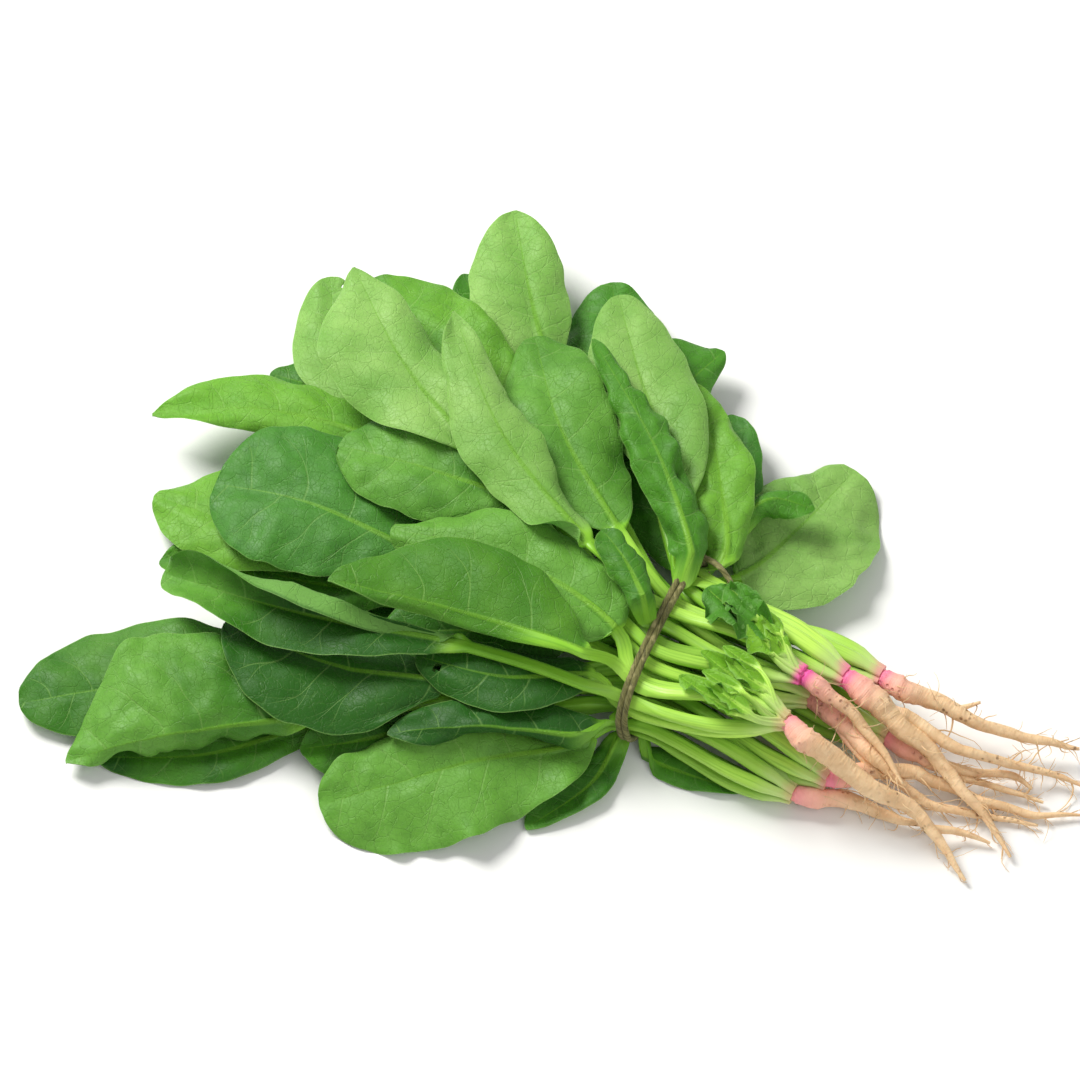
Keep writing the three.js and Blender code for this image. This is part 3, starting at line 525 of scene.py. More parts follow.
def drape_freedom(row, centre):
    """0 where the tie holds a leaf, 1 where it lies free."""
    if row.young:
        return np.ones(len(centre))
    return smoothstep(-(centre - TIE_CENTRE) @ TOWARDS_ROOTS, *DRAPE_RAMP)


def rises_needed(row, st, pile):
    """The spots where a leaf would be in the pile or the surface, and how far each must rise."""
    shares = np.array([-1, -0.7, -0.35, 0, 0.35, 0.7, 1])
    p, _ = surface(st, np.tile(shares, (len(st.centre), 1)))
    below = np.maximum(pile.at(p) + LEAF_CLEARANCE, FLOOR_CLEARANCE) + SOLID_BLADE_THICK / 2
    rise = np.maximum(below - p[..., 2], 0) * drape_freedom(row, st.centre)[:, None]
    return p[rise > 0], rise[rise > 0]


def rise_at(p, needed):
    """A smooth rise that clears every spot near a point."""
    spots, rises = needed
    flat = p.reshape(-1, 3)
    if not len(rises):
        return np.zeros(p.shape[:-1])
    gap = np.hypot(flat[:, None, 0] - spots[None, :, 0], flat[:, None, 1] - spots[None, :, 1])
    rise = (rises * (1 - smoothstep(gap, 0, DRAPE_REACH))).max(1)
    return rise.reshape(p.shape[:-1])


def tie_point(angle, outwards):
    """A point at an angle round the tie, outwards from its middle line."""
    power = 2 / TIE_SQUARENESS
    c, s = np.cos(angle), np.sin(angle)
    across = np.sign(c) * np.abs(c) ** power * (TIE_HALF_WIDTH + outwards)
    high = np.sign(s) * np.abs(s) ** power * (TIE_HALF_HEIGHT + outwards)
    back = -TIE_LEAN * (0.5 + high / TIE_HALF_HEIGHT / 2)
    return (TIE_CENTRE + np.multiply.outer(across, ACROSS) + np.multiply.outer(high, UP)
            + np.multiply.outer(back, TOWARDS_ROOTS))


def layout_shift():
    """Where the layout's origin is in the frame, from the tie's band, in metres."""
    angle = np.radians(np.arange(36) * 10)
    corners = ((-1, -0.5), (-0.6, -1), (0.6, -1), (1, -0.5),
               (1, 0.5), (0.6, 1), (-0.6, 1), (-1, 0.5))
    rings = [tie_point(angle, out * TIE_BAND_THICK / 2)
             + TOWARDS_ROOTS * along * TIE_BAND_WIDTH / 2 for along, out in corners]
    p = np.concatenate(rings) * MM
    low, high = (np.array(c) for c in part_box("tie_band"))
    return (low + high) / 2 - (p.min(0) + p.max(0)) / 2


SHIFT = layout_shift()


# Meshes


def deselect():
    if bpy.context.object and bpy.context.object.mode != "OBJECT":
        bpy.ops.object.mode_set(mode="OBJECT")
    bpy.ops.object.select_all(action="DESELECT")


def pick(*obs):
    """Selects only these objects, the first of them active."""
    deselect()
    for ob in obs:
        ob.select_set(True)
    bpy.context.view_layer.objects.active = obs[0]


def named(name):
    """The object just added, given its name."""
    ob = bpy.context.object
    ob.name = ob.data.name = name
    return ob


def mark(ob, key, values):
    """Gives every point of a piece three numbers."""
    layer = ob.data.attributes.new(key, "FLOAT_VECTOR", "POINT")
    layer.data.foreach_set("vector", np.asarray(values, float).ravel())


def triples(*values):
    """Three grids or numbers as one grid of threes."""
    return np.stack(np.broadcast_arrays(*values), -1)


def side_and_up(forwards):
    side = unit(np.cross(UP, forwards))
    return side, np.cross(forwards, side)


def rolled(name, rings, attributes, closed=False):
    """A grid rolled up through rings of points in millimetres, its seam merged and its ends
    filled. attributes holds three numbers for each point."""
    rings = np.asarray(rings, float)
    count, around = rings.shape[:2]
    rows = count + 1 if closed else count
    deselect()
    bpy.ops.mesh.primitive_grid_add(x_subdivisions=around, y_subdivisions=rows - 1, size=1,
                                    calc_uvs=True)
    ob = named(name)
    flat = np.empty(len(ob.data.vertices) * 3)
    ob.data.vertices.foreach_get("co", flat)
    flat = flat.reshape(-1, 3)
    column = np.rint((flat[:, 0] + 0.5) * around).astype(int) % around
    ring = np.rint((flat[:, 1] + 0.5) * (rows - 1)).astype(int) % count
    ob.data.vertices.foreach_set("co", (rings[ring, column] * MM + SHIFT).ravel())
    for key, values in attributes.items():
        mark(ob, key, values[ring, column])
    bpy.ops.object.mode_set(mode="EDIT")
    bpy.ops.mesh.select_all(action="SELECT")
    bpy.ops.mesh.remove_doubles(threshold=2e-6)
    if not closed:
        bpy.ops.mesh.fill_holes(sides=0)
    bpy.ops.mesh.select_all(action="SELECT")
    bpy.ops.mesh.normals_make_consistent(inside=False)
    bpy.ops.object.mode_set(mode="OBJECT")
    return ob


def round_off(ob, degrees=50):
    """Shades a piece smooth, except over edges sharper than this."""
    pick(ob)
    bpy.ops.object.shade_smooth_by_angle(angle=math.radians(degrees))


def joined(obs, name):
    pick(*obs)
    if len(obs) > 1:
        bpy.ops.object.join()
    obs[0].name = obs[0].data.name = name
    return obs[0]


def stand_for(piece, node, material):
    """Puts a finished piece in the place of a solid."""
    piece.data.materials.clear()
    piece.data.materials.append(material)
    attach(piece, "root")
    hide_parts(node)


def tube_rings(centre, forwards, radius, sides):
    """Rings round a line, with a radius for each of their points."""
    side, up = side_and_up(forwards)
    angle = TURN * np.arange(sides) / sides
    return (centre[:, None] + (radius * np.cos(angle))[..., None] * side[:, None]
            + (radius * np.sin(angle))[..., None] * up[:, None])


# Leaves


def fine_stations(row, fineness):
    """t and along for every ring of the finished leaf, close together where it turns."""
    curve = midrib(row)
    spans = 1 if row.young else 3
    total = spans + 2
    probe = np.linspace(0, 1, 200)
    run = run_along(curve.at(probe))
    base = np.interp(spans / total, probe, run)
    on_stalk = int(np.clip(base / RING_ON_STALK, 5, 44))
    on_blade = int(np.clip((run[-1] - base) / RING_ON_BLADE * fineness, 14, 84))
    t = np.interp(np.linspace(0, base, on_stalk, endpoint=False), run, probe)
    step = np.linspace(0, 1, on_blade + 1)
    along = lerp(step, 0.5 - 0.5 * np.cos(math.pi * step), 0.6)
    t = np.concatenate([t, (spans + 2 * along) / total])
    return t, np.concatenate([np.zeros(on_stalk), along])


def squeezed(p, stalky):
    """Points of a stalk drawn in where the tie grips, so that none stands out of it."""
    off = p - TIE_CENTRE
    across, high = off @ ACROSS, off[..., 2]
    along = off @ TOWARDS_ROOTS + TIE_LEAN * (0.5 + high / TIE_HALF_HEIGHT / 2)
    beyond = (np.abs(across / (TIE_HALF_WIDTH - TIE_GRIP)) ** TIE_SQUARENESS
              + np.abs(high / (TIE_HALF_HEIGHT - TIE_GRIP)) ** TIE_SQUARENESS)
    draw = 1 - np.maximum(beyond, 1) ** (-1 / TIE_SQUARENESS)
    draw = draw * (1 - smoothstep(np.abs(along), 2, 16)) * stalky
    return p - draw[..., None] * (across[..., None] * ACROSS + high[..., None] * UP)


def spread(need):
    """A rise carried smoothly to its neighbours on the leaf."""
    for _ in range(2):
        p = np.pad(need, 1, mode="edge")
        need = np.max([p[i:i + need.shape[0], j:j + need.shape[1]]
                       for i in range(3) for j in range(3)], axis=0)
    for _ in range(4):
        p = np.pad(need, 1, mode="edge")
        need = (2 * need + p[:-2, 1:-1] + p[2:, 1:-1] + p[1:-1, :-2] + p[1:-1, 2:]) / 6
    return need


def pierce(ob, p, along, u, hole):
    """Cuts a small round hole through a blade and closes its rim."""
    at, across, radius = hole
    middle = p[np.abs(along - at).argmin(), np.abs(u - across).argmin()]
    spot = Vector(middle * MM + SHIFT)
    pick(ob)
    bpy.ops.object.mode_set(mode="EDIT")
    bpy.ops.mesh.select_mode(type="FACE")
    bpy.ops.mesh.select_all(action="DESELECT")
    bpy.ops.object.mode_set(mode="OBJECT")
    for polygon in ob.data.polygons:
        polygon.select = (polygon.center - spot).length < radius * MM
    bpy.ops.object.mode_set(mode="EDIT")
    bpy.ops.mesh.delete(type="FACE")
    bpy.ops.mesh.select_mode(type="EDGE")
    bpy.ops.mesh.select_all(action="DESELECT")
    bpy.ops.mesh.select_non_manifold(extend=False)
    bpy.ops.mesh.bridge_edge_loops()
    bpy.ops.mesh.select_all(action="SELECT")
    bpy.ops.mesh.normals_make_consistent(inside=False)
    bpy.ops.object.mode_set(mode="OBJECT")


def sprout(row, turn):
    """A smaller leaf beside a young one."""
    size = SPROUT_SIZES[turn]
    base = np.array(row.base, float)
    moved = [tuple(base + (np.array(q) - base) * size + SPROUT_PLACES[turn])
             for q in (row.base, row.middle, row.tip)]
    row = SimpleNamespace(**vars(row))
    row.base, row.middle, row.tip = moved
    row.half = tuple(size * half for half in row.half)
    row.ring = row.ring + turn
    return row


def leaf_grid(row, rng):
    """A leaf's sections and the columns on them. x and share are how far out from the rib a point
    is, y how far along the blade, and stalky 1 on the stalk and 0 on the open blade."""
    fineness = HIDDEN_FINENESS if row.hidden else 1.0
    t, along = fine_stations(row, fineness)
    st = spine(row, t, along)
    n = int(np.clip(max(row.half) / COLUMN * fineness, 8, 26))
    run = run_along(st.centre)
    y = (run - run[along == 0][-1])[:, None]
    along = along[:, None]
    u = np.arange(-n, n + 1) / n
    side = (u > 0).astype(int)
    v = np.abs(u)[None]
    stalk = st.stalk[:, None]
    turns = rng.uniform(0, TURN, 8)
    uneven = (np.sin(TURN * along * 2.6 + turns[:2]) + 0.6
              * np.sin(TURN * along * 6.1 + turns[2:4])) * EDGE_UNEVEN
    cut = np.ones_like(st.width)
    for where, at, depth, reach in row.notches:
        cut[:, where] -= depth * np.exp(-((along[:, 0] - at) / reach) ** 2)
    st.width = st.width * (1 + uneven * smoothstep(along, 0.05, 0.3)) * cut
    full = (STALK_FULLNESS * rng.uniform(0.88, 1.12)
            + STALK_SWELL * (1 - smoothstep(run, *STALK_SWELLS_TO))
            - STALK_PINCH * (1 - smoothstep(run, *STALK_PINCHED_TO)))[:, None]
    if row.young:
        slim = lerp(1, YOUNG_STALK, smoothstep(run, *YOUNG_SLIMS))[:, None]
        full = full * slim
        stalk = stalk * slim
        on_blade = np.where(along > 0, outline(row, along), 0) * row.half
        st.width = np.maximum(on_blade * cut, stalk * (1 - 0.75 * along))
        st.slope = st.slope + YOUNG_KEEL
    st.width = np.maximum(st.width, full * stalk * (1 - 0.8 * along))
    width = st.width[:, side]
    stalky = (1 - smoothstep(width, 1.6 * stalk, 2.9 * stalk)) * (1 - smoothstep(along, 0.2, 0.4))

    # Columns crowd over the rib on the blade, and stand evenly round the stalk.
    rib_half = np.minimum(lerp(0.95 * stalk, 0.45, along ** 0.6), 0.5 * width)
    rib_share = 3 / n
    on_blade = np.where(v <= rib_share, v / rib_share * rib_half,
                        rib_half + (v - rib_share) / (1 - rib_share) * (width - rib_half))
    x = lerp(on_blade, width * np.sin(v * math.pi / 2), stalky)
    return SimpleNamespace(st=st, run=run, y=y, along=along, u=u, side=side, v=v, turns=turns,
                           full=full, width=width, stalky=stalky, rib_half=rib_half, x=x,
                           share=x / width, signed=x * np.sign(u))


def blade_form(row, grid, rng, sizes):
    """How far the blade stands off its middle surface, with side veins sunk between pillows and
    an edge that runs in and out, and the phase and spacing of its side veins."""
    x, y, share, signed = grid.x, grid.y, grid.share, grid.signed
    spacing = np.clip(max(y[-1, 0], 1) / VEINS_ON_BLADE, *VEIN_SPACING) * rng.uniform(0.9, 1.12)
    bend, wander = Ripple(rng, VEINS_BEND[1]), Ripple(rng, VEINS_WANDER[1])
    wy = y + VEINS_BEND[0] * bend(signed, y) + VEINS_WANDER[0] * wander(signed, y)
    phase = ((wy - 0.3 * x - 0.5 * x ** 2 / max(row.half)) / spacing + 0.45 * grid.side
             + grid.turns[7])
    vary, over = PILLOWS_VARY
    strength = np.clip(0.8 + vary * Ripple(rng, over)(signed, y), 0.2, 1.5)
    pillows = np.abs(np.sin(math.pi * phase)) * (1 - 0.75 * smoothstep(share, 0.65, 1))
    crumples = YOUNG_CRUMPLES if row.young else 1
    small, middle, large = (Ripple(rng, size * crumples) for _, size in CRUMPLES)
    by_small, by_middle, by_large = (far for far, _ in CRUMPLES)
    form = sizes.pillow_height / MM * row.pucker ** 0.8 * strength * (pillows - 0.5)
    form = form + row.pucker * (by_small * small(wy, x) + by_middle * middle(signed, y))
    form = form + by_large * large(signed, y) * smoothstep(share, 0, 1)
    waves = rng.uniform(*EDGE_WAVE, 2) * (YOUNG_WAVES if row.young else 1)
    edge = (np.sin(TURN * y / waves[0] + grid.turns[4:6][grid.side])
            + 0.45 * np.sin(TURN * y / (waves[1] * 0.4) + grid.turns[2:4][grid.side]))
    form = form + (sizes.ruffle_height / MM * row.ruffle * edge * share ** 2.2
                   * np.minimum(grid.width / (9 if row.young else 14), 1))
    groove = (RIB_GROOVE * np.exp(-(x / 2.8) ** 2) * (1 - 0.7 * grid.along)
              * smoothstep(grid.along, 0.1, 0.4))
    return form * ((1 - grid.stalky) * smoothstep(x, 1.0, 6)) - groove, phase, spacing


def crown_shift(row, run):
    """The way in to the crown at a stalk's foot, and out again above it."""
    inwards = CROWN_CLOSES * (1 - smoothstep(run, *CROWN_CLOSES_TO)) * STALK_RING_AT_CROWN
    bow = YOUNG_BOW if row.young else STALK_BOW
    inwards = inwards - (bow * smoothstep(run, *STALK_BOWS_OUT)
                         * (1 - smoothstep(run, *STALK_BOWS_BACK)))
    return slot_offset(crown_ring(row), 1.0) * inwards[:, None, None]


def leaf_sides(grid, p, normal, half):
    """A leaf's upper and lower points: a thin blade with a rib under it, and a round stalk with
    a channel on top, all kept off the surface."""
    x, v, along, stalky = grid.x, grid.v, grid.along, grid.stalky
    thick = grid.st.thick[:, None] * grid.full * 0.92
    round_ = np.cos(v * math.pi / 2)
    stalk_top = 0.5 * thick * round_ ** 0.85 - STALK_CHANNEL * np.exp(-(x / 0.9) ** 2)
    stalk_below = 0.55 * thick * round_
    margin = np.sqrt(np.clip((1 - v) / 0.05, 0, 1))
    rib = np.sqrt(np.clip(1 - (x / grid.rib_half) ** 2, 0, 1))
    top = half * margin + RIB_HIGH * (1 - smoothstep(along, 0, 0.4)) * rib ** 1.5
    below = half * margin + lerp(*RIB_DEEP, along ** 0.6) * rib
    top, below = lerp(top, stalk_top, stalky), lerp(below, stalk_below, stalky)
    upper = squeezed(p + top[..., None] * normal, stalky)
    lower = squeezed(p - below[..., None] * normal, stalky)
    sunk = np.maximum(FLOOR_AT - lower[..., 2:3], 0)
    lower[..., 2:3] += sunk
    upper[..., 2:3] += sunk * 0.8
    return upper, lower


def grown_leaf(name, row, number, sizes, piles, lone=False):
    """A whole leaf, laid on the pile. A lone one leaves the pile as it was."""
    rng = np.random.default_rng(500 + number)
    coarse, fine = piles
    grid = leaf_grid(row, rng)
    x, run, share, stalky = grid.x, grid.run, grid.share, grid.stalky
    p, normal = surface(grid.st, share * np.sign(grid.u), 14, 1.0)
    form, phase, spacing = blade_form(row, grid, rng, sizes)
    p += form[..., None] * normal
    p -= crown_shift(row, run)

    coarse_st = coarse_spine(row)
    needed = rises_needed(row, coarse_st, coarse)
    rooted = smoothstep(run, *YOUNG_ROOTED)[:, None] * YOUNG_RISES if row.young else 1
    p[..., 2] += rise_at(p, needed) * rooted
    half = sizes.blade_thickness / MM / 2
    free = drape_freedom(row, grid.st.centre)[:, None]
    need = np.maximum(fine.at(p) + half + FINE_CLEARANCE, FLOOR_CLEARANCE) - p[..., 2]
    nestles = YOUNG_NESTLES * rooted if row.young else 1
    p[..., 2] += spread(np.clip(need, 0, HIGHEST_RISE) * free * nestles)
    upper, lower = leaf_sides(grid, p, normal, half)
    back = slice(-2, 0, -1)

    def both(a, b, c, a_below=None):
        """Three numbers for each point, first of the upper side and then of the lower."""
        blank = np.zeros_like(x)
        above, below = (triples(first + blank, b, c)
                        for first in (a, a if a_below is None else a_below))
        return np.concatenate([above, below[:, back]], 1)

    # How much lighter or darker the leaf is painted: partly its own tone, and painted shade where
    # it lies under other leaves, lifted towards the tip.
    bright = row.bright + row.tip_bright * smoothstep(grid.along, 0.4, 0.95)
    ob = rolled(name, np.concatenate([upper, lower[:, back]], 1), {
        "blade": both(grid.signed, grid.y, share * (1 - stalky)),
        "growth": both(run[:, None], stalky, grid.along),
        "veins": both(1.0, phase, spacing, 0.0),
        "tint": both(rng.uniform(0, 1), row.cool, CROWN_RED[row.plant]),
        "shade": both(bright, 0.0, 0.0),
    })
    if row.hole:
        pierce(ob, p, grid.along[:, 0], grid.u, row.hole)
    round_off(ob)
    if lone:
        return ob

    shares = np.array([-1, -0.55, 0, 0.55, 1])
    q, q_normal = surface(coarse_st, np.tile(shares, (len(coarse_st.centre), 1)))
    q += coarse_st.tops[..., None] * q_normal
    q[..., 2] += rise_at(q, needed)
    coarse.cover(q, 5)
    fine.cover(upper, 3)
    return ob


# Roots


def eased(line, passes):
    """A line of points with its kinks smoothed out and its ends kept."""
    for _ in range(passes):
        line = np.vstack([line[:1], (line[:-2] + 2 * line[1:-1] + line[2:]) / 4, line[-1:]])
    return line


def root_tube(name, points, rng, sides, bare_top, start_reach=0.0):
    """A tapering root, wrinkled round and pitted, with its reach from the crown on each point."""
    curve = Curve([place(p) for p in points])
    probe = curve.at(np.linspace(0, 1, 120))
    length = np.linalg.norm(np.diff(probe, axis=0), axis=1).sum()
    count = int(length / ROOT_RING) + 6
    t = np.linspace(0, 1, count)
    radius = np.interp(t, np.linspace(0, 1, len(points)), [p[3] for p in points])
    centre = eased(curve.at(t), 7)
    forwards = unit(np.gradient(centre, axis=0))
    reach = t * length
    wander = Ripple(rng, 17), Ripple(rng, 19)
    sway = (smoothstep(reach, 6, 20) * np.minimum(radius * 0.3, 0.6))[:, None]
    side = unit(np.cross(UP, forwards))
    centre = centre + sway * (wander[0](reach, 0)[:, None] * side
                              + wander[1](reach, 9)[:, None] * UP)
    if bare_top:
        # The crown closes over in a low dome between the stalks.
        centre = np.vstack([centre[0] - forwards[0] * DOME_RISE[:, None], centre])
        forwards = np.vstack([np.repeat(forwards[:1], len(DOME_RISE), 0), forwards])
        radius = radius * (1 - ROOT_NECK * np.exp(-(reach / ROOT_NECK_REACH) ** 2))
        radius = np.concatenate([DOME_SHARE * radius[0], radius])
        reach = np.concatenate([-DOME_RISE, reach])
    around = np.arange(sides) / sides * TURN
    bump, ring, knob = Ripple(rng, 5.0), Ripple(rng, 2.2), Ripple(rng, 12)
    girth = radius.mean()
    wrap = np.sin(around)[None] * girth * 1.6
    rough = (0.045 * bump(reach[:, None], wrap) + 0.035 * knob(reach[:, None], wrap)
             + 0.008 * ring(reach[:, None], 0.3 * wrap))
    grown = radius[:, None] * (1 + rough * smoothstep(reach, 4, 14)[:, None])
    rings = tube_rings(centre, forwards, grown, sides)
    skin = triples(reach[:, None] + start_reach, around[None], radius[:, None])
    rings[..., 2] = np.maximum(rings[..., 2], FLOOR_AT)
    return rolled(name, rings, {"skin": skin}), (centre, forwards, radius, reach)


def root_hairs(name, strands):
    """Thin rootlets, each a tapering thread along its points."""
    deselect()
    bpy.ops.curve.primitive_bezier_curve_add()
    ob = bpy.context.object
    ob.name = name
    data = ob.data
    data.splines.clear()
    data.dimensions = "3D"
    data.bevel_depth = 1.0
    data.bevel_resolution = 0
    data.use_fill_caps = True
    for points, radii in strands:
        spline = data.splines.new("POLY")
        spline.points.add(len(points) - 1)
        co = np.hstack([points * MM + SHIFT, np.ones((len(points), 1))])
        spline.points.foreach_set("co", co.ravel())
        spline.points.foreach_set("radius", np.asarray(radii) * MM)
    bpy.ops.object.convert(target="MESH")
    ob = bpy.context.object
    mark(ob, "skin", np.tile(ROOTLET_SKIN, (len(ob.data.vertices), 1)))
    return ob


def hair_points(rng, start, away, forwards, length):
    """A thread that leaves a root outwards, turns along it and sinks a little."""
    heading = unit(away * rng.uniform(0.5, 1.1) + forwards * rng.uniform(0.5, 1.3)
                   + rng.normal(0, 0.25, 3))
    drift = rng.normal(0, 0.22, 3)
    points = [start]
    for _ in range(ROOTLET_POINTS - 1):
        heading = unit(heading + drift + rng.normal(0, 0.16, 3) + np.array([0.05, 0, -0.09]))
        points.append(points[-1] + heading * length / ROOTLET_POINTS)
    points = np.array(points)
    points[:, 2] = np.maximum(points[:, 2], FLOOR_AT + 0.5)
    return points


def grown_root(number, sizes, material):
    """One plant's root with its forks and rootlets."""
    rng = np.random.default_rng(900 + number)
    name = f"grown_plant_{number}_root"
    spec = PLANTS[number]
    main, line = root_tube(name, spec.root, rng, 28, True)
    parts, lines = [main], [line]
    for k, fork in enumerate(spec.forks):
        start = np.linalg.norm(place(fork[0]) - place(spec.root[0]))
        part, fork_line = root_tube(f"{name}_fork_{k}", fork, rng, 16, False, start)
        parts.append(part)
        lines.append(fork_line)
    strands = []
    for centre, forwards, radius, reach in lines:
        count = int(sizes.rootlets * reach[-1] / 70)
        for _ in range(count):
            i = int(rng.uniform(0.16, 0.97) * (len(centre) - 1))
            if reach[i] < 5:
                continue
            side, up = side_and_up(forwards[i])
            turn = rng.uniform(0, TURN)
            away = math.cos(turn) * side + math.sin(turn) * up
            length = rng.uniform(*ROOTLET_LONG) * (1.0 if rng.uniform() < 0.85 else 2.0)
            points = hair_points(rng, centre[i] + away * radius[i] * 0.7, away, forwards[i], length)
            thick = rng.uniform(*ROOTLET_RADIUS) * (0.6 + 0.4 * length / 20)
            strands.append((points, np.linspace(thick, ROOTLET_TIP, len(points))))
    parts.append(root_hairs(name + "_hairs", strands))
    piece = joined(parts, name)
    mark(piece, "plant", [(CROWN_RED[number], 0, 0)] * len(piece.data.vertices))
    round_off(piece, 60)
    stand_for(piece, f"plant_{number}_root", material)


# The tie


def strand(name, centre, radius, sides, twist, rng, closed=False):
    """A twisted fibre strand: a tube whose ridges wind round it."""
    count = len(centre)
    if closed:
        forwards = unit(np.roll(centre, -1, 0) - np.roll(centre, 1, 0))
    else:
        forwards = unit(np.gradient(centre, axis=0))
    length = np.linalg.norm(np.diff(centre, axis=0), axis=1).sum()
    turns = round(length * twist) if closed else length * twist
    wind = np.arange(count) / count * turns * TURN
    angle = TURN * np.arange(sides) / sides
    whirl = angle[None] + wind[:, None]
    uneven = Ripple(rng, 9)(np.arange(count) * length / count, 0)[:, None]
    grown = radius * (1 + 0.1 * np.cos(5 * whirl) + 0.05 * np.cos(3 * whirl + 1) + 0.05 * uneven)
    rings = tube_rings(centre, forwards, grown, sides)
    along = (np.arange(count) * length / count)[:, None]
    fibre = triples(along, whirl % (TURN), rng.uniform())
    return rolled(name, rings, {"fibre": fibre}, closed)


def tied_band(sizes, material):
    """The two strands that go round the stalks."""
    rng = np.random.default_rng(71)
    count = 260
    angle = TURN * np.arange(count) / count
    parts = []
    gap = sizes.strand_radius / MM
    for k, sign in enumerate((-1, 1)):
        path = tie_point(angle, 0.25 * np.sin(3 * angle + k))
        shift = sign * gap * (0.95 + 0.12 * np.sin(2 * angle + k)) + 0.4 * np.sin(angle + 1)
        path = path + shift[:, None] * TOWARDS_ROOTS
        path[:, 2] = np.maximum(path[:, 2], FLOOR_AT + 1.25 * gap)
        parts.append(strand(f"strand_{k}", path, gap, 18, 0.09, rng, closed=True))
    piece = joined(parts, "twisted_tie")
    round_off(piece, 60)
    stand_for(piece, "tie_band", material)


def tied_knot(sizes, material):
    """The knot on the tie, one strand with two loose ends."""
    rng = np.random.default_rng(72)
    radius = sizes.strand_radius / MM * 0.92
    at = tie_point(np.array(KNOT_ANGLE), TIE_BAND_THICK / 2 + KNOT_HEIGHT)
    t = np.linspace(0.35, TURN - 0.35, 70)
    knot = np.stack([np.sin(t) + 2 * np.sin(2 * t), np.cos(t) - 2 * np.cos(2 * t),
                     -np.sin(3 * t)], 1) * (1.05, 0.85, 1.1)
    path = at + knot[:, :1] * TOWARDS_ROOTS + knot[:, 1:2] * ACROSS + knot[:, 2:] * UP
    ends = [[at + TOWARDS_ROOTS * a + ACROSS * b + UP * (c - 2) for a, b, c in end]
            for end in LOOSE_ENDS]
    whole = Curve([*reversed(ends[1]), *path[4:-4:6], *ends[0]])
    probe = whole.at(np.linspace(0, 1, 170))
    piece = strand("tied_knot", probe, radius, 16, 0.12, rng)
    round_off(piece, 60)
    stand_for(piece, "tie_knot", material)


# Materials


def linear(colour):
    """The linear colour of one given as it looks, 0 to 255."""
    c = np.asarray(colour, float) / 255
    return tuple(np.where(c <= 0.04045, c / 12.92, ((c + 0.055) / 1.055) ** 2.4))


class Paint:
    """One node material. Each call adds a node and gives its output."""

    def __init__(self, name):
        self.material = bpy.data.materials.new(name)
        self.material.use_nodes = True
        self.tree = self.material.node_tree
        self.tree.nodes.clear()

    def node(self, kind, inputs=(), out=0, **settings):
        n = self.tree.nodes.new("ShaderNode" + kind)
        for key, value in settings.items():
            setattr(n, key, value)
        for key, value in dict(inputs).items():
            if isinstance(value, bpy.types.NodeSocket):
                self.tree.links.new(value, n.inputs[key])
            elif value is not None:
                socket = n.inputs[key]
                if hasattr(value, "__len__") and socket.type == "RGBA" and len(value) == 3:
                    value = (*value, 1)
                socket.default_value = value
        return n.outputs[out]

    def math(self, operation, a, b=None):
        return self.node("Math", {0: a, 1: b}, operation=operation)

    def times(self, a, b):
        return self.math("MULTIPLY", a, b)

    def plus(self, a, b):
        return self.math("ADD", a, b)

    def minus(self, a, b):
        return self.math("SUBTRACT", a, b)

    def band(self, value, low, high, to_low=0.0, to_high=1.0):
        return self.node("MapRange", {"Value": value, "From Min": low, "From Max": high,
                                      "To Min": to_low, "To Max": to_high},
                         interpolation_type="SMOOTHSTEP")

    def mix(self, factor, a, b, blend="MIX"):
        return self.node("Mix", {0: factor, 6: a, 7: b}, 2, data_type="RGBA", blend_type=blend)

    def over(self, base, other, value, low, high, most=1.0):
        """The base with another colour over it, where a value goes from low to high."""
        return self.mix(self.band(value, low, high, 0, most), base, other)

    def noise(self, vector, scale, detail=2.0, rough=0.5):
        return self.node("TexNoise", {"Vector": vector, "Scale": scale, "Detail": detail,
                                      "Roughness": rough})

    def cells(self, vector, scale, feature="DISTANCE_TO_EDGE"):
        return self.node("TexVoronoi", {"Vector": vector, "Scale": scale}, feature=feature)

    def parts(self, attribute):
        """The three numbers of a piece's own attribute."""
        vector = self.node("Attribute", out=1, attribute_name=attribute)
        split = self.tree.nodes.new("ShaderNodeSeparateXYZ")
        self.tree.links.new(vector, split.inputs[0])
        return split.outputs

    def join(self, x, y, z):
        return self.node("CombineXYZ", {0: x, 1: y, 2: z})

    def place(self):
        return self.node("TexCoord", out=3)

    def bump(self, height, distance):
        return self.node("Bump", {"Height": height, "Distance": distance})

    def finish(self, shader):
        output = self.tree.nodes.new("ShaderNodeOutputMaterial")
        self.tree.links.new(shader, output.inputs[0])
        return self.material


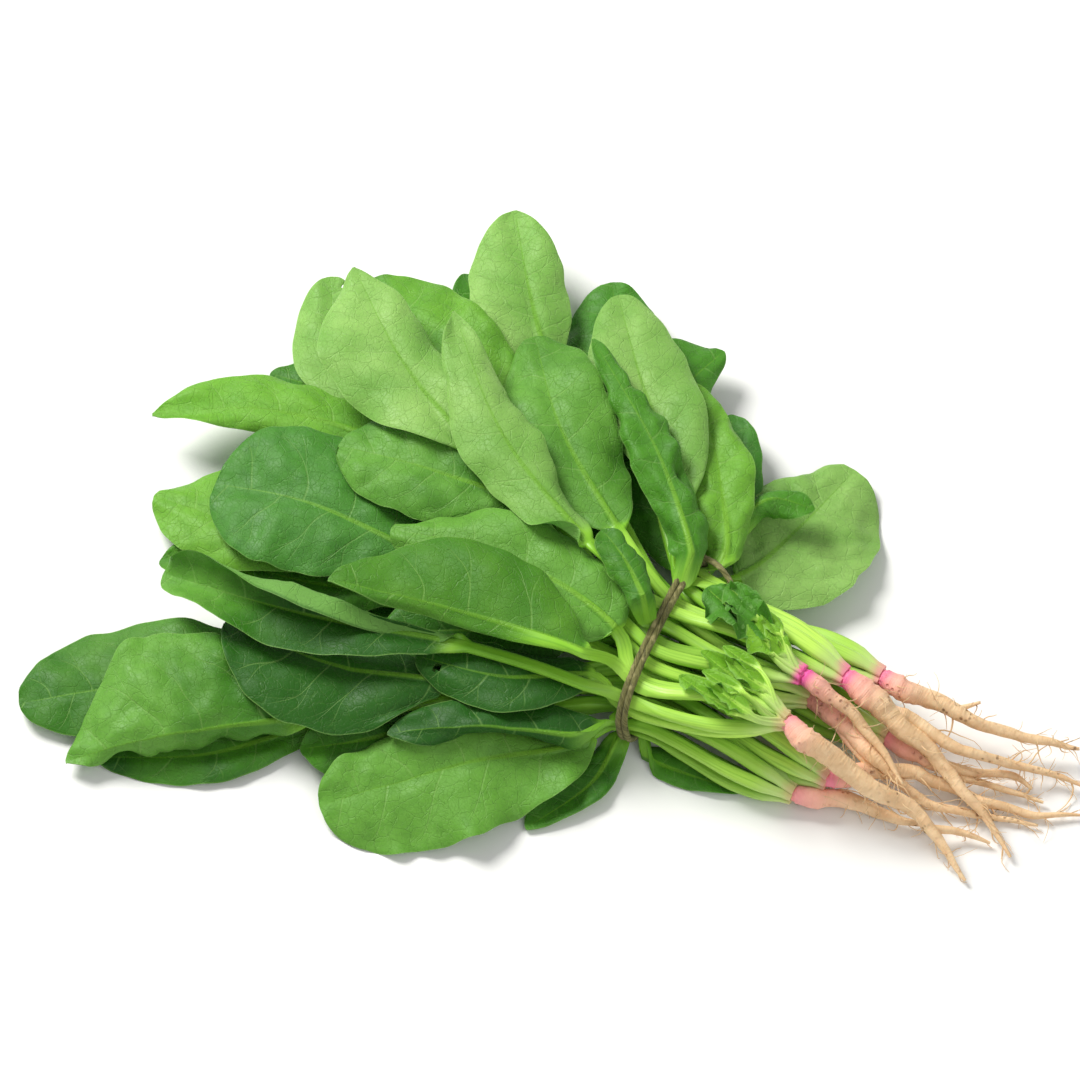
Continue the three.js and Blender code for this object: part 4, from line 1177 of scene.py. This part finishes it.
def leaf_material(name, tone, colours):
    """A leaf: blade with fine sunk veins and a matt underside, and a glossy channelled stalk
    that turns pale and pink at the crown."""
    dark, light = (getattr(colours, f"{tone}_{end}") for end in ("dark", "light"))
    vein = lerp(np.array(light), np.array(colours.vein), 0.55)
    p = Paint(name)
    x, y, share = p.parts("blade")
    run, stalky, along = p.parts("growth")
    upper, phase, spacing = p.parts("veins")
    first, cool, redness = p.parts("tint")
    spot = p.place()
    away = p.math("ABSOLUTE", x)
    width_in_mm = p.times(spacing, 0.9)

    # Side veins where the phase is whole, each with a branch, and the net between them.
    def near_whole(value):
        gap = p.minus(p.math("FRACT", p.plus(value, 0.5)), 0.5)
        return p.times(p.math("ABSOLUTE", gap), width_in_mm)

    gap = near_whole(phase)
    branch = near_whole(p.plus(phase, p.band(share, 0.32, 1.1, 0, 0.5)))
    second = near_whole(p.minus(phase, p.band(share, 0.55, 1.15, 0, 0.36)))
    thin = p.band(share, 0, 1, 0.62, 0.2)
    branches = p.math("MAXIMUM", p.band(branch, 0.34, 0.0), p.band(second, 0.3, 0.0))
    side_vein = p.math("MAXIMUM", p.band(gap, thin, 0.0), p.times(branches, 0.6))
    side_vein = p.times(side_vein, p.band(share, 1.0, 0.7))
    rib_half = p.band(along, 0, 0.9, 1.7, 0.28)
    rib = p.band(away, rib_half, p.times(rib_half, 0.35))
    rib = p.times(rib, p.band(along, 1.0, 0.88))
    flat = p.join(x, y, p.times(first, 90))
    sway = p.node("VectorMath", {0: p.noise(flat, 0.22), "Scale": 4.5}, operation="SCALE")
    bent = p.node("VectorMath", {0: flat, 1: sway}, operation="ADD")
    net = p.band(p.cells(bent, 0.19), 0.05, 0.0)
    fine_net = p.band(p.cells(bent, 0.62), 0.07, 0.0)

    # The blade: patches, a painted highlight on its pillows, painted shade on a leaf under others,
    # veins and a thin painted highlight along the rim.
    bright = p.parts("shade")[0]
    # The patches are the leaf's own tone, shifted by bright, which below nought is painted shade.
    patch_and_shade = p.plus(p.noise(spot, 30, 3), p.times(bright, 0.3))
    blade = p.over(dark, light, patch_and_shade, 0.3, 0.72)
    # Painted highlight: the pillows between the side veins are lighter, as if catching the light.
    pillow_highlight = p.band(gap, 0.4, p.times(width_in_mm, 0.5))
    blade = p.mix(p.times(pillow_highlight, 0.22), blade, light)
    blade = p.over(blade, dark, p.noise(spot, 190, 3), 0.4, 0.75, 0.25)
    under = p.mix(0.75, blade, colours.underside)
    # Painted shade: a leaf with bright below nought darkens towards deep dark, as if lying in the
    # shade of the leaves above.
    blade = p.over(blade, colours.deep_dark, bright, 0, -1, 0.9)
    blade = p.over(blade, p.mix(0.5, blade, colours.cool), cool, 0, 1, 0.75)
    blade = p.over(blade, colours.lime, cool, 0, -1, 0.5)
    blade = p.mix(p.times(fine_net, 0.05), blade, vein)
    blade = p.mix(p.times(net, 0.07), blade, vein)
    blade = p.mix(p.times(side_vein, p.band(spacing, 6, 15, 0.14, 0.36)), blade, vein)
    # Painted highlight: a thin lighter line along the rim of the blade.
    from_edge = p.times(away, p.minus(p.math("DIVIDE", 1.0, share), 1.0))
    blade = p.over(blade, vein, from_edge, 0.5, 0.1, 0.5)
    stalk_green = p.over(colours.stalk_light, colours.stalk, run, 18, 90)
    stalk_green = p.over(stalk_green, colours.stalk_dark, run, 80, 120, 0.45)
    blade = p.mix(p.times(rib, p.band(along, 0, 0.8, 0.85, 0.45)), blade, stalk_green)
    under = p.mix(p.times(side_vein, 0.3), under, vein)
    blade = p.mix(upper, under, blade)

    # The stalk: streaked, with painted shade low in the bunch, pale at its foot and pink at the
    # crown.
    streaks = p.noise(p.join(p.times(x, 1.5), p.times(run, 0.04), p.times(first, 50)), 1.0, 3)
    stalk = p.over(stalk_green, colours.stalk_dark, streaks, 0.42, 0.72, 0.45)
    stalk = p.over(stalk, colours.stalk_light, p.noise(spot, 60), 0.45, 0.75, 0.4)
    stalk = p.over(stalk, colours.stalk_dark, first, 0.3, 1.0, 0.35)
    # Painted shade: stalks darken low in the bunch, where those above shade them.
    above = p.node("SeparateXYZ", {0: spot}, 2)
    stalk = p.over(stalk, colours.stalk_dark, above, 0.024, 0.006, 0.45)
    stalk = p.over(stalk, colours.stalk_foot, run, 16, 4, 0.85)
    blush = p.plus(run, p.times(p.noise(spot, 140), 6))
    stalk = p.mix(p.times(p.band(blush, 8.5, 3.0), p.band(redness, 0, 1, 0.25, 0.95)),
                  stalk, p.mix(redness, colours.crown_pale, colours.crown))
    colour = p.mix(stalky, blade, stalk)

    # Fine relief, and a finish that lets some light through the blade.
    height = p.times(side_vein, -0.14)
    height = p.minus(height, p.times(net, 0.13))
    height = p.minus(height, p.times(fine_net, 0.07))
    height = p.plus(height, p.times(p.noise(spot, 700, 3), 0.16))
    height = p.times(height, p.minus(1.0, stalky))
    height = p.plus(height, p.times(p.times(streaks, stalky), 0.14))
    normal = p.bump(height, 0.0009)

    rough = p.band(p.noise(spot, 130, 2), 0.3, 0.7, 0.46, 0.6)
    rough = p.plus(rough, p.times(p.minus(1.0, upper), 0.14))
    rough = p.minus(rough, p.times(stalky, 0.16))
    body = p.node("BsdfPrincipled", {"Base Color": colour, "Roughness": rough, "Normal": normal,
                                     "Specular IOR Level": 0.36, "Coat Weight": TONES[tone],
                                     "Coat Roughness": 0.45, "Sheen Weight": 0.05,
                                     "Sheen Roughness": 0.5})
    glow = p.mix(1.0, colour, colours.glow, "MULTIPLY")
    through = p.node("BsdfTranslucent", {"Color": glow, "Normal": normal})
    part = p.times(p.minus(1.0, stalky), 0.26)
    shader = p.node("MixShader", {0: p.plus(part, 0.06), 1: body, 2: through})
    return p.finish(shader)


def root_material(colours):
    """Mottled and pitted skin that turns pink at the crown."""
    p = Paint("root skin")
    reach, around, radius = p.parts("skin")
    redness = p.parts("plant")[0]
    spot = p.place()
    mottle = p.noise(spot, 130, 4, 0.6)
    skin = p.over(colours.root, colours.root_light, mottle, 0.32, 0.7)
    grain = p.noise(p.join(p.times(reach, 1.6), p.times(around, 0.8), 3.0), 1.0, 3)
    skin = p.over(skin, colours.root_dark, grain, 0.5, 0.78, 0.3)
    pits = p.band(p.cells(spot, 420, "F1"), 0.34, 0.12)
    pits = p.times(pits, p.band(p.noise(spot, 75), 0.5, 0.62))
    skin = p.mix(p.times(pits, 0.75), skin, colours.root_pit)
    warm = p.plus(reach, p.times(p.noise(spot, 90, 2), 9))
    skin = p.over(skin, colours.root_blush, warm, 36, 8, 0.75)
    skin = p.mix(p.times(p.band(warm, 13, 4), p.band(redness, 0, 1, 0.6, 1)), skin,
                 p.mix(redness, colours.crown_pale, colours.crown))
    skin = p.over(skin, colours.root_dark, radius, 0.45, 0.25, 0.3)
    height = p.plus(p.times(grain, 0.6), p.times(mottle, 0.5))
    height = p.minus(height, p.times(pits, 0.8))
    shader = p.node("BsdfPrincipled", {
        "Base Color": skin, "Roughness": p.band(mottle, 0.3, 0.7, 0.52, 0.7),
        "Normal": p.bump(height, 0.0006), "Specular IOR Level": 0.35,
        "Subsurface Weight": 0.12, "Subsurface Scale": 0.002,
        "Subsurface Radius": (1.0, 0.5, 0.3)})
    return p.finish(shader)


def tie_material(colours):
    """Dry brown fibre with light threads."""
    p = Paint("tie fibre")
    along, around, chance = p.parts("fibre")
    spot = p.place()
    grain = p.join(p.times(along, 0.12), p.times(around, 3.2), p.times(chance, 40))
    threads = p.noise(grain, 1.0, 4, 0.65)
    fibre = p.over(colours.tie_dark, colours.tie, threads, 0.34, 0.68)
    fibre = p.over(fibre, colours.tie_light, p.noise(spot, 260, 3), 0.5, 0.8, 0.7)
    shader = p.node("BsdfPrincipled", {
        "Base Color": fibre, "Roughness": 0.82, "Specular IOR Level": 0.25, "Sheen Weight": 0.1,
        "Normal": p.bump(threads, 0.0007)})
    return p.finish(shader)


def floor_material(colours):
    p = Paint("pale floor")
    spot = p.place()
    shade = p.mix(p.band(p.noise(spot, 14, 2), 0.3, 0.7, 0, 0.4), colours.floor,
                  [c * 0.97 for c in colours.floor])
    shader = p.node("BsdfPrincipled", {"Base Color": shade, "Roughness": 0.9,
                                       "Specular IOR Level": 0.1})
    return p.finish(shader)


# The add-on


def shade(name, description, colour):
    return bpy.props.FloatVectorProperty(name=name, description=description, subtype="COLOR",
                                         size=3, min=0, max=1, default=linear(colour))


def length(name, description, millimetres):
    return bpy.props.FloatProperty(name=name, description=description, unit="LENGTH", min=0,
                                   default=millimetres * MM, precision=5)


class SpinachSizes(bpy.types.PropertyGroup):
    """Sizes that the layout leaves open."""
    blade_thickness: length("Blade thickness", "Thickness of a leaf blade", 0.55)
    pillow_height: length("Pillow height", "How far a blade bulges between its side veins", 0.85)
    ruffle_height: length("Ruffle height", "How far a blade's edge runs in and out", 1.0)
    strand_radius: length("Strand radius", "Radius of each strand of the tie", 1.12)
    rootlets: bpy.props.IntProperty(
        name="Rootlets", description="Thin rootlets on 70 mm of root", default=34, min=0)


class SpinachColours(bpy.types.PropertyGroup):
    """Colours of the leaves, stalks, roots, tie and floor."""
    # Each tone's light colour also paints the highlight on a blade's pillows.
    pale_light: shade("Pale leaf, light", "Lighter patches of a pale leaf", (166, 212, 112))
    pale_dark: shade("Pale leaf, dark", "Darker patches of a pale leaf", (126, 184, 76))
    fresh_light: shade("Fresh leaf, light", "Lighter patches of a fresh leaf", (126, 190, 58))
    fresh_dark: shade("Fresh leaf, dark", "Darker patches of a fresh leaf", (74, 146, 26))
    mid_light: shade("Mid leaf, light", "Lighter patches of a mid green leaf", (116, 180, 64))
    mid_dark: shade("Mid leaf, dark", "Darker patches of a mid green leaf", (60, 130, 14))
    deep_light: shade("Deep leaf, light", "Lighter patches of a deep green leaf", (86, 158, 34))
    # Deep dark also paints the shade on leaves lying under others.
    deep_dark: shade("Deep leaf, dark", "Darker patches of a deep green leaf", (34, 100, 8))
    # The vein colour also paints the highlight along a blade's rim.
    vein: shade("Vein", "Side veins of a leaf", (176, 216, 126))
    underside: shade("Underside", "Matt lower side of a leaf", (136, 194, 92))
    cool: shade("Cool green", "Bluish cast of some leaves", (52, 122, 62))
    lime: shade("Lime green", "Yellow cast of young leaves", (148, 208, 24))
    glow: shade("Glow", "Light that comes through a blade", (232, 255, 120))
    stalk: shade("Stalk", "Stalk near the blade", (142, 204, 52))
    stalk_light: shade("Stalk, light", "Light streaks of a stalk", (200, 244, 100))
    # The dark stalk colour also paints the shade on stalks low in the bunch.
    stalk_dark: shade("Stalk, dark", "Grooves of a stalk", (92, 158, 30))
    stalk_foot: shade("Stalk foot", "Pale foot of a stalk", (198, 226, 136))
    crown: shade("Crown", "Where stalks and root meet", (240, 92, 168))
    crown_pale: shade("Crown, pale", "A pale plant's crown", (242, 158, 152))
    root: shade("Root", "Skin of a root", (226, 188, 142))
    root_light: shade("Root, light", "Lighter skin of a root", (244, 212, 168))
    root_dark: shade("Root, dark", "Wrinkles of a root", (182, 142, 98))
    root_pit: shade("Root pit", "Pits and scars of a root", (134, 94, 58))
    root_blush: shade("Root blush", "Pink skin below the crown", (255, 168, 166))
    tie: shade("Tie", "Dry fibre of the tie", (150, 146, 90))
    tie_light: shade("Tie, light", "Light threads of the tie", (214, 202, 144))
    tie_dark: shade("Tie, dark", "Dark threads of the tie", (92, 90, 46))
    floor: shade("Floor", "Pale floor", (244, 244, 242))


class SpinachOperator(bpy.types.Operator):
    bl_options = {"REGISTER", "UNDO"}

    def sizes(self):
        return bpy.context.scene.spinach_sizes

    def colours(self):
        return bpy.context.scene.spinach_colours


class SPINACH_OT_roots(SpinachOperator):
    """Grow the eight taproots with their forks and rootlets"""
    bl_idname = "spinach.roots"
    bl_label = "Roots"

    def execute(self, context):
        material = root_material(self.colours())
        for number in PLANTS:
            grown_root(number, self.sizes(), material)
        return {"FINISHED"}


class SPINACH_OT_leaves(SpinachOperator):
    """Grow every leaf from its crown through the tie and lay it on the pile"""
    bl_idname = "spinach.leaves"
    bl_label = "Leaves"

    def execute(self, context):
        colours = self.colours()
        materials = {tone: leaf_material(f"{tone} leaf", tone, colours) for tone in TONES}
        piles = Pile(COARSE_CELL), Pile(FINE_CELL)
        counts = {}
        for number, row in enumerate(LEAVES):
            counts[row.plant] = counts.get(row.plant, 0) + 1
            node = f"plant_{row.plant}_leaf_{counts[row.plant]}"
            piece = grown_leaf("grown_" + node, row, number, self.sizes(), piles)
            if row.young:
                beside = [grown_leaf(f"sprout_{turn}", sprout(row, turn), 2 * number + turn,
                                     self.sizes(), piles, lone=True) for turn in (0, 1)]
                piece = joined([piece, *beside], piece.name)
            stand_for(piece, node, materials[row.tone])
        return {"FINISHED"}


class SPINACH_OT_tie(SpinachOperator):
    """Wind the tie's two strands round the stalks and knot them"""
    bl_idname = "spinach.tie"
    bl_label = "Tie"

    def execute(self, context):
        material = tie_material(self.colours())
        tied_band(self.sizes(), material)
        tied_knot(self.sizes(), material)
        return {"FINISHED"}


def add_light(name, location, size, energy, colour):
    deselect()
    bpy.ops.object.light_add(type="AREA", location=location)
    light = bpy.context.object
    light.name = name
    light.data.shape = "DISK"
    light.data.size = size
    light.data.energy = energy
    light.data.color = colour
    light.rotation_euler = (-Vector(location)).to_track_quat("-Z", "Y").to_euler()


class SPINACH_OT_stage(SpinachOperator):
    """Lay the pale floor, and set the lights and the camera"""
    bl_idname = "spinach.stage"
    bl_label = "Stage"

    def execute(self, context):
        scene = context.scene
        scene.view_settings.view_transform = "Standard"
        deselect()
        bpy.ops.mesh.primitive_grid_add(x_subdivisions=8, y_subdivisions=8, size=FLOOR_SIZE)
        floor = named("floor")
        floor.data.materials.append(floor_material(self.colours()))
        world = scene.world or bpy.data.worlds.new("World")
        scene.world = world
        world.use_nodes = True
        background = world.node_tree.nodes["Background"]
        background.inputs["Color"].default_value = (1, 1, 1, 1)
        background.inputs["Strength"].default_value = DAYLIGHT
        for name, values in LIGHTS.items():
            add_light(name, *values)
        bpy.ops.object.camera_add()
        camera = bpy.context.object
        scene.camera = camera
        camera.data.lens = CAMERA_LENS
        camera.data.sensor_width = CAMERA_SENSOR
        back = Vector((0, -math.cos(LOOK_DOWN), math.sin(LOOK_DOWN)))
        distance = FRAME_WIDTH * CAMERA_LENS / CAMERA_SENSOR
        camera.location = Vector(SHIFT) + back * distance
        camera.rotation_mode = "QUATERNION"
        camera.rotation_quaternion = (-back).to_track_quat("-Z", "Y")
        camera.data.clip_start, camera.data.clip_end = CAMERA_CLIP
        return {"FINISHED"}


class SPINACH_PT_bunch(bpy.types.Panel):
    """The bunch's pieces, sizes and colours"""
    bl_label = "Spinach bunch"
    bl_idname = "SPINACH_PT_bunch"
    bl_space_type = "VIEW_3D"
    bl_region_type = "UI"
    bl_category = "Spinach"

    def draw(self, context):
        layout = self.layout
        for operator in OPERATORS:
            layout.operator(operator.bl_idname)
        for group in (context.scene.spinach_sizes, context.scene.spinach_colours):
            for key in group.__annotations__:
                layout.prop(group, key)


OPERATORS = (SPINACH_OT_stage, SPINACH_OT_roots, SPINACH_OT_leaves, SPINACH_OT_tie)
CLASSES = (SpinachSizes, SpinachColours, *OPERATORS, SPINACH_PT_bunch)


def register():
    for cls in CLASSES:
        bpy.utils.register_class(cls)
    bpy.types.Scene.spinach_sizes = bpy.props.PointerProperty(type=SpinachSizes)
    bpy.types.Scene.spinach_colours = bpy.props.PointerProperty(type=SpinachColours)


def unregister():
    del bpy.types.Scene.spinach_colours
    del bpy.types.Scene.spinach_sizes
    for cls in reversed(CLASSES):
        bpy.utils.unregister_class(cls)


def main():
    register()
    bpy.ops.spinach.stage()
    bpy.ops.spinach.roots()
    bpy.ops.spinach.leaves()
    bpy.ops.spinach.tie()
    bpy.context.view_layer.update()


if __name__ == "__main__":
    main()
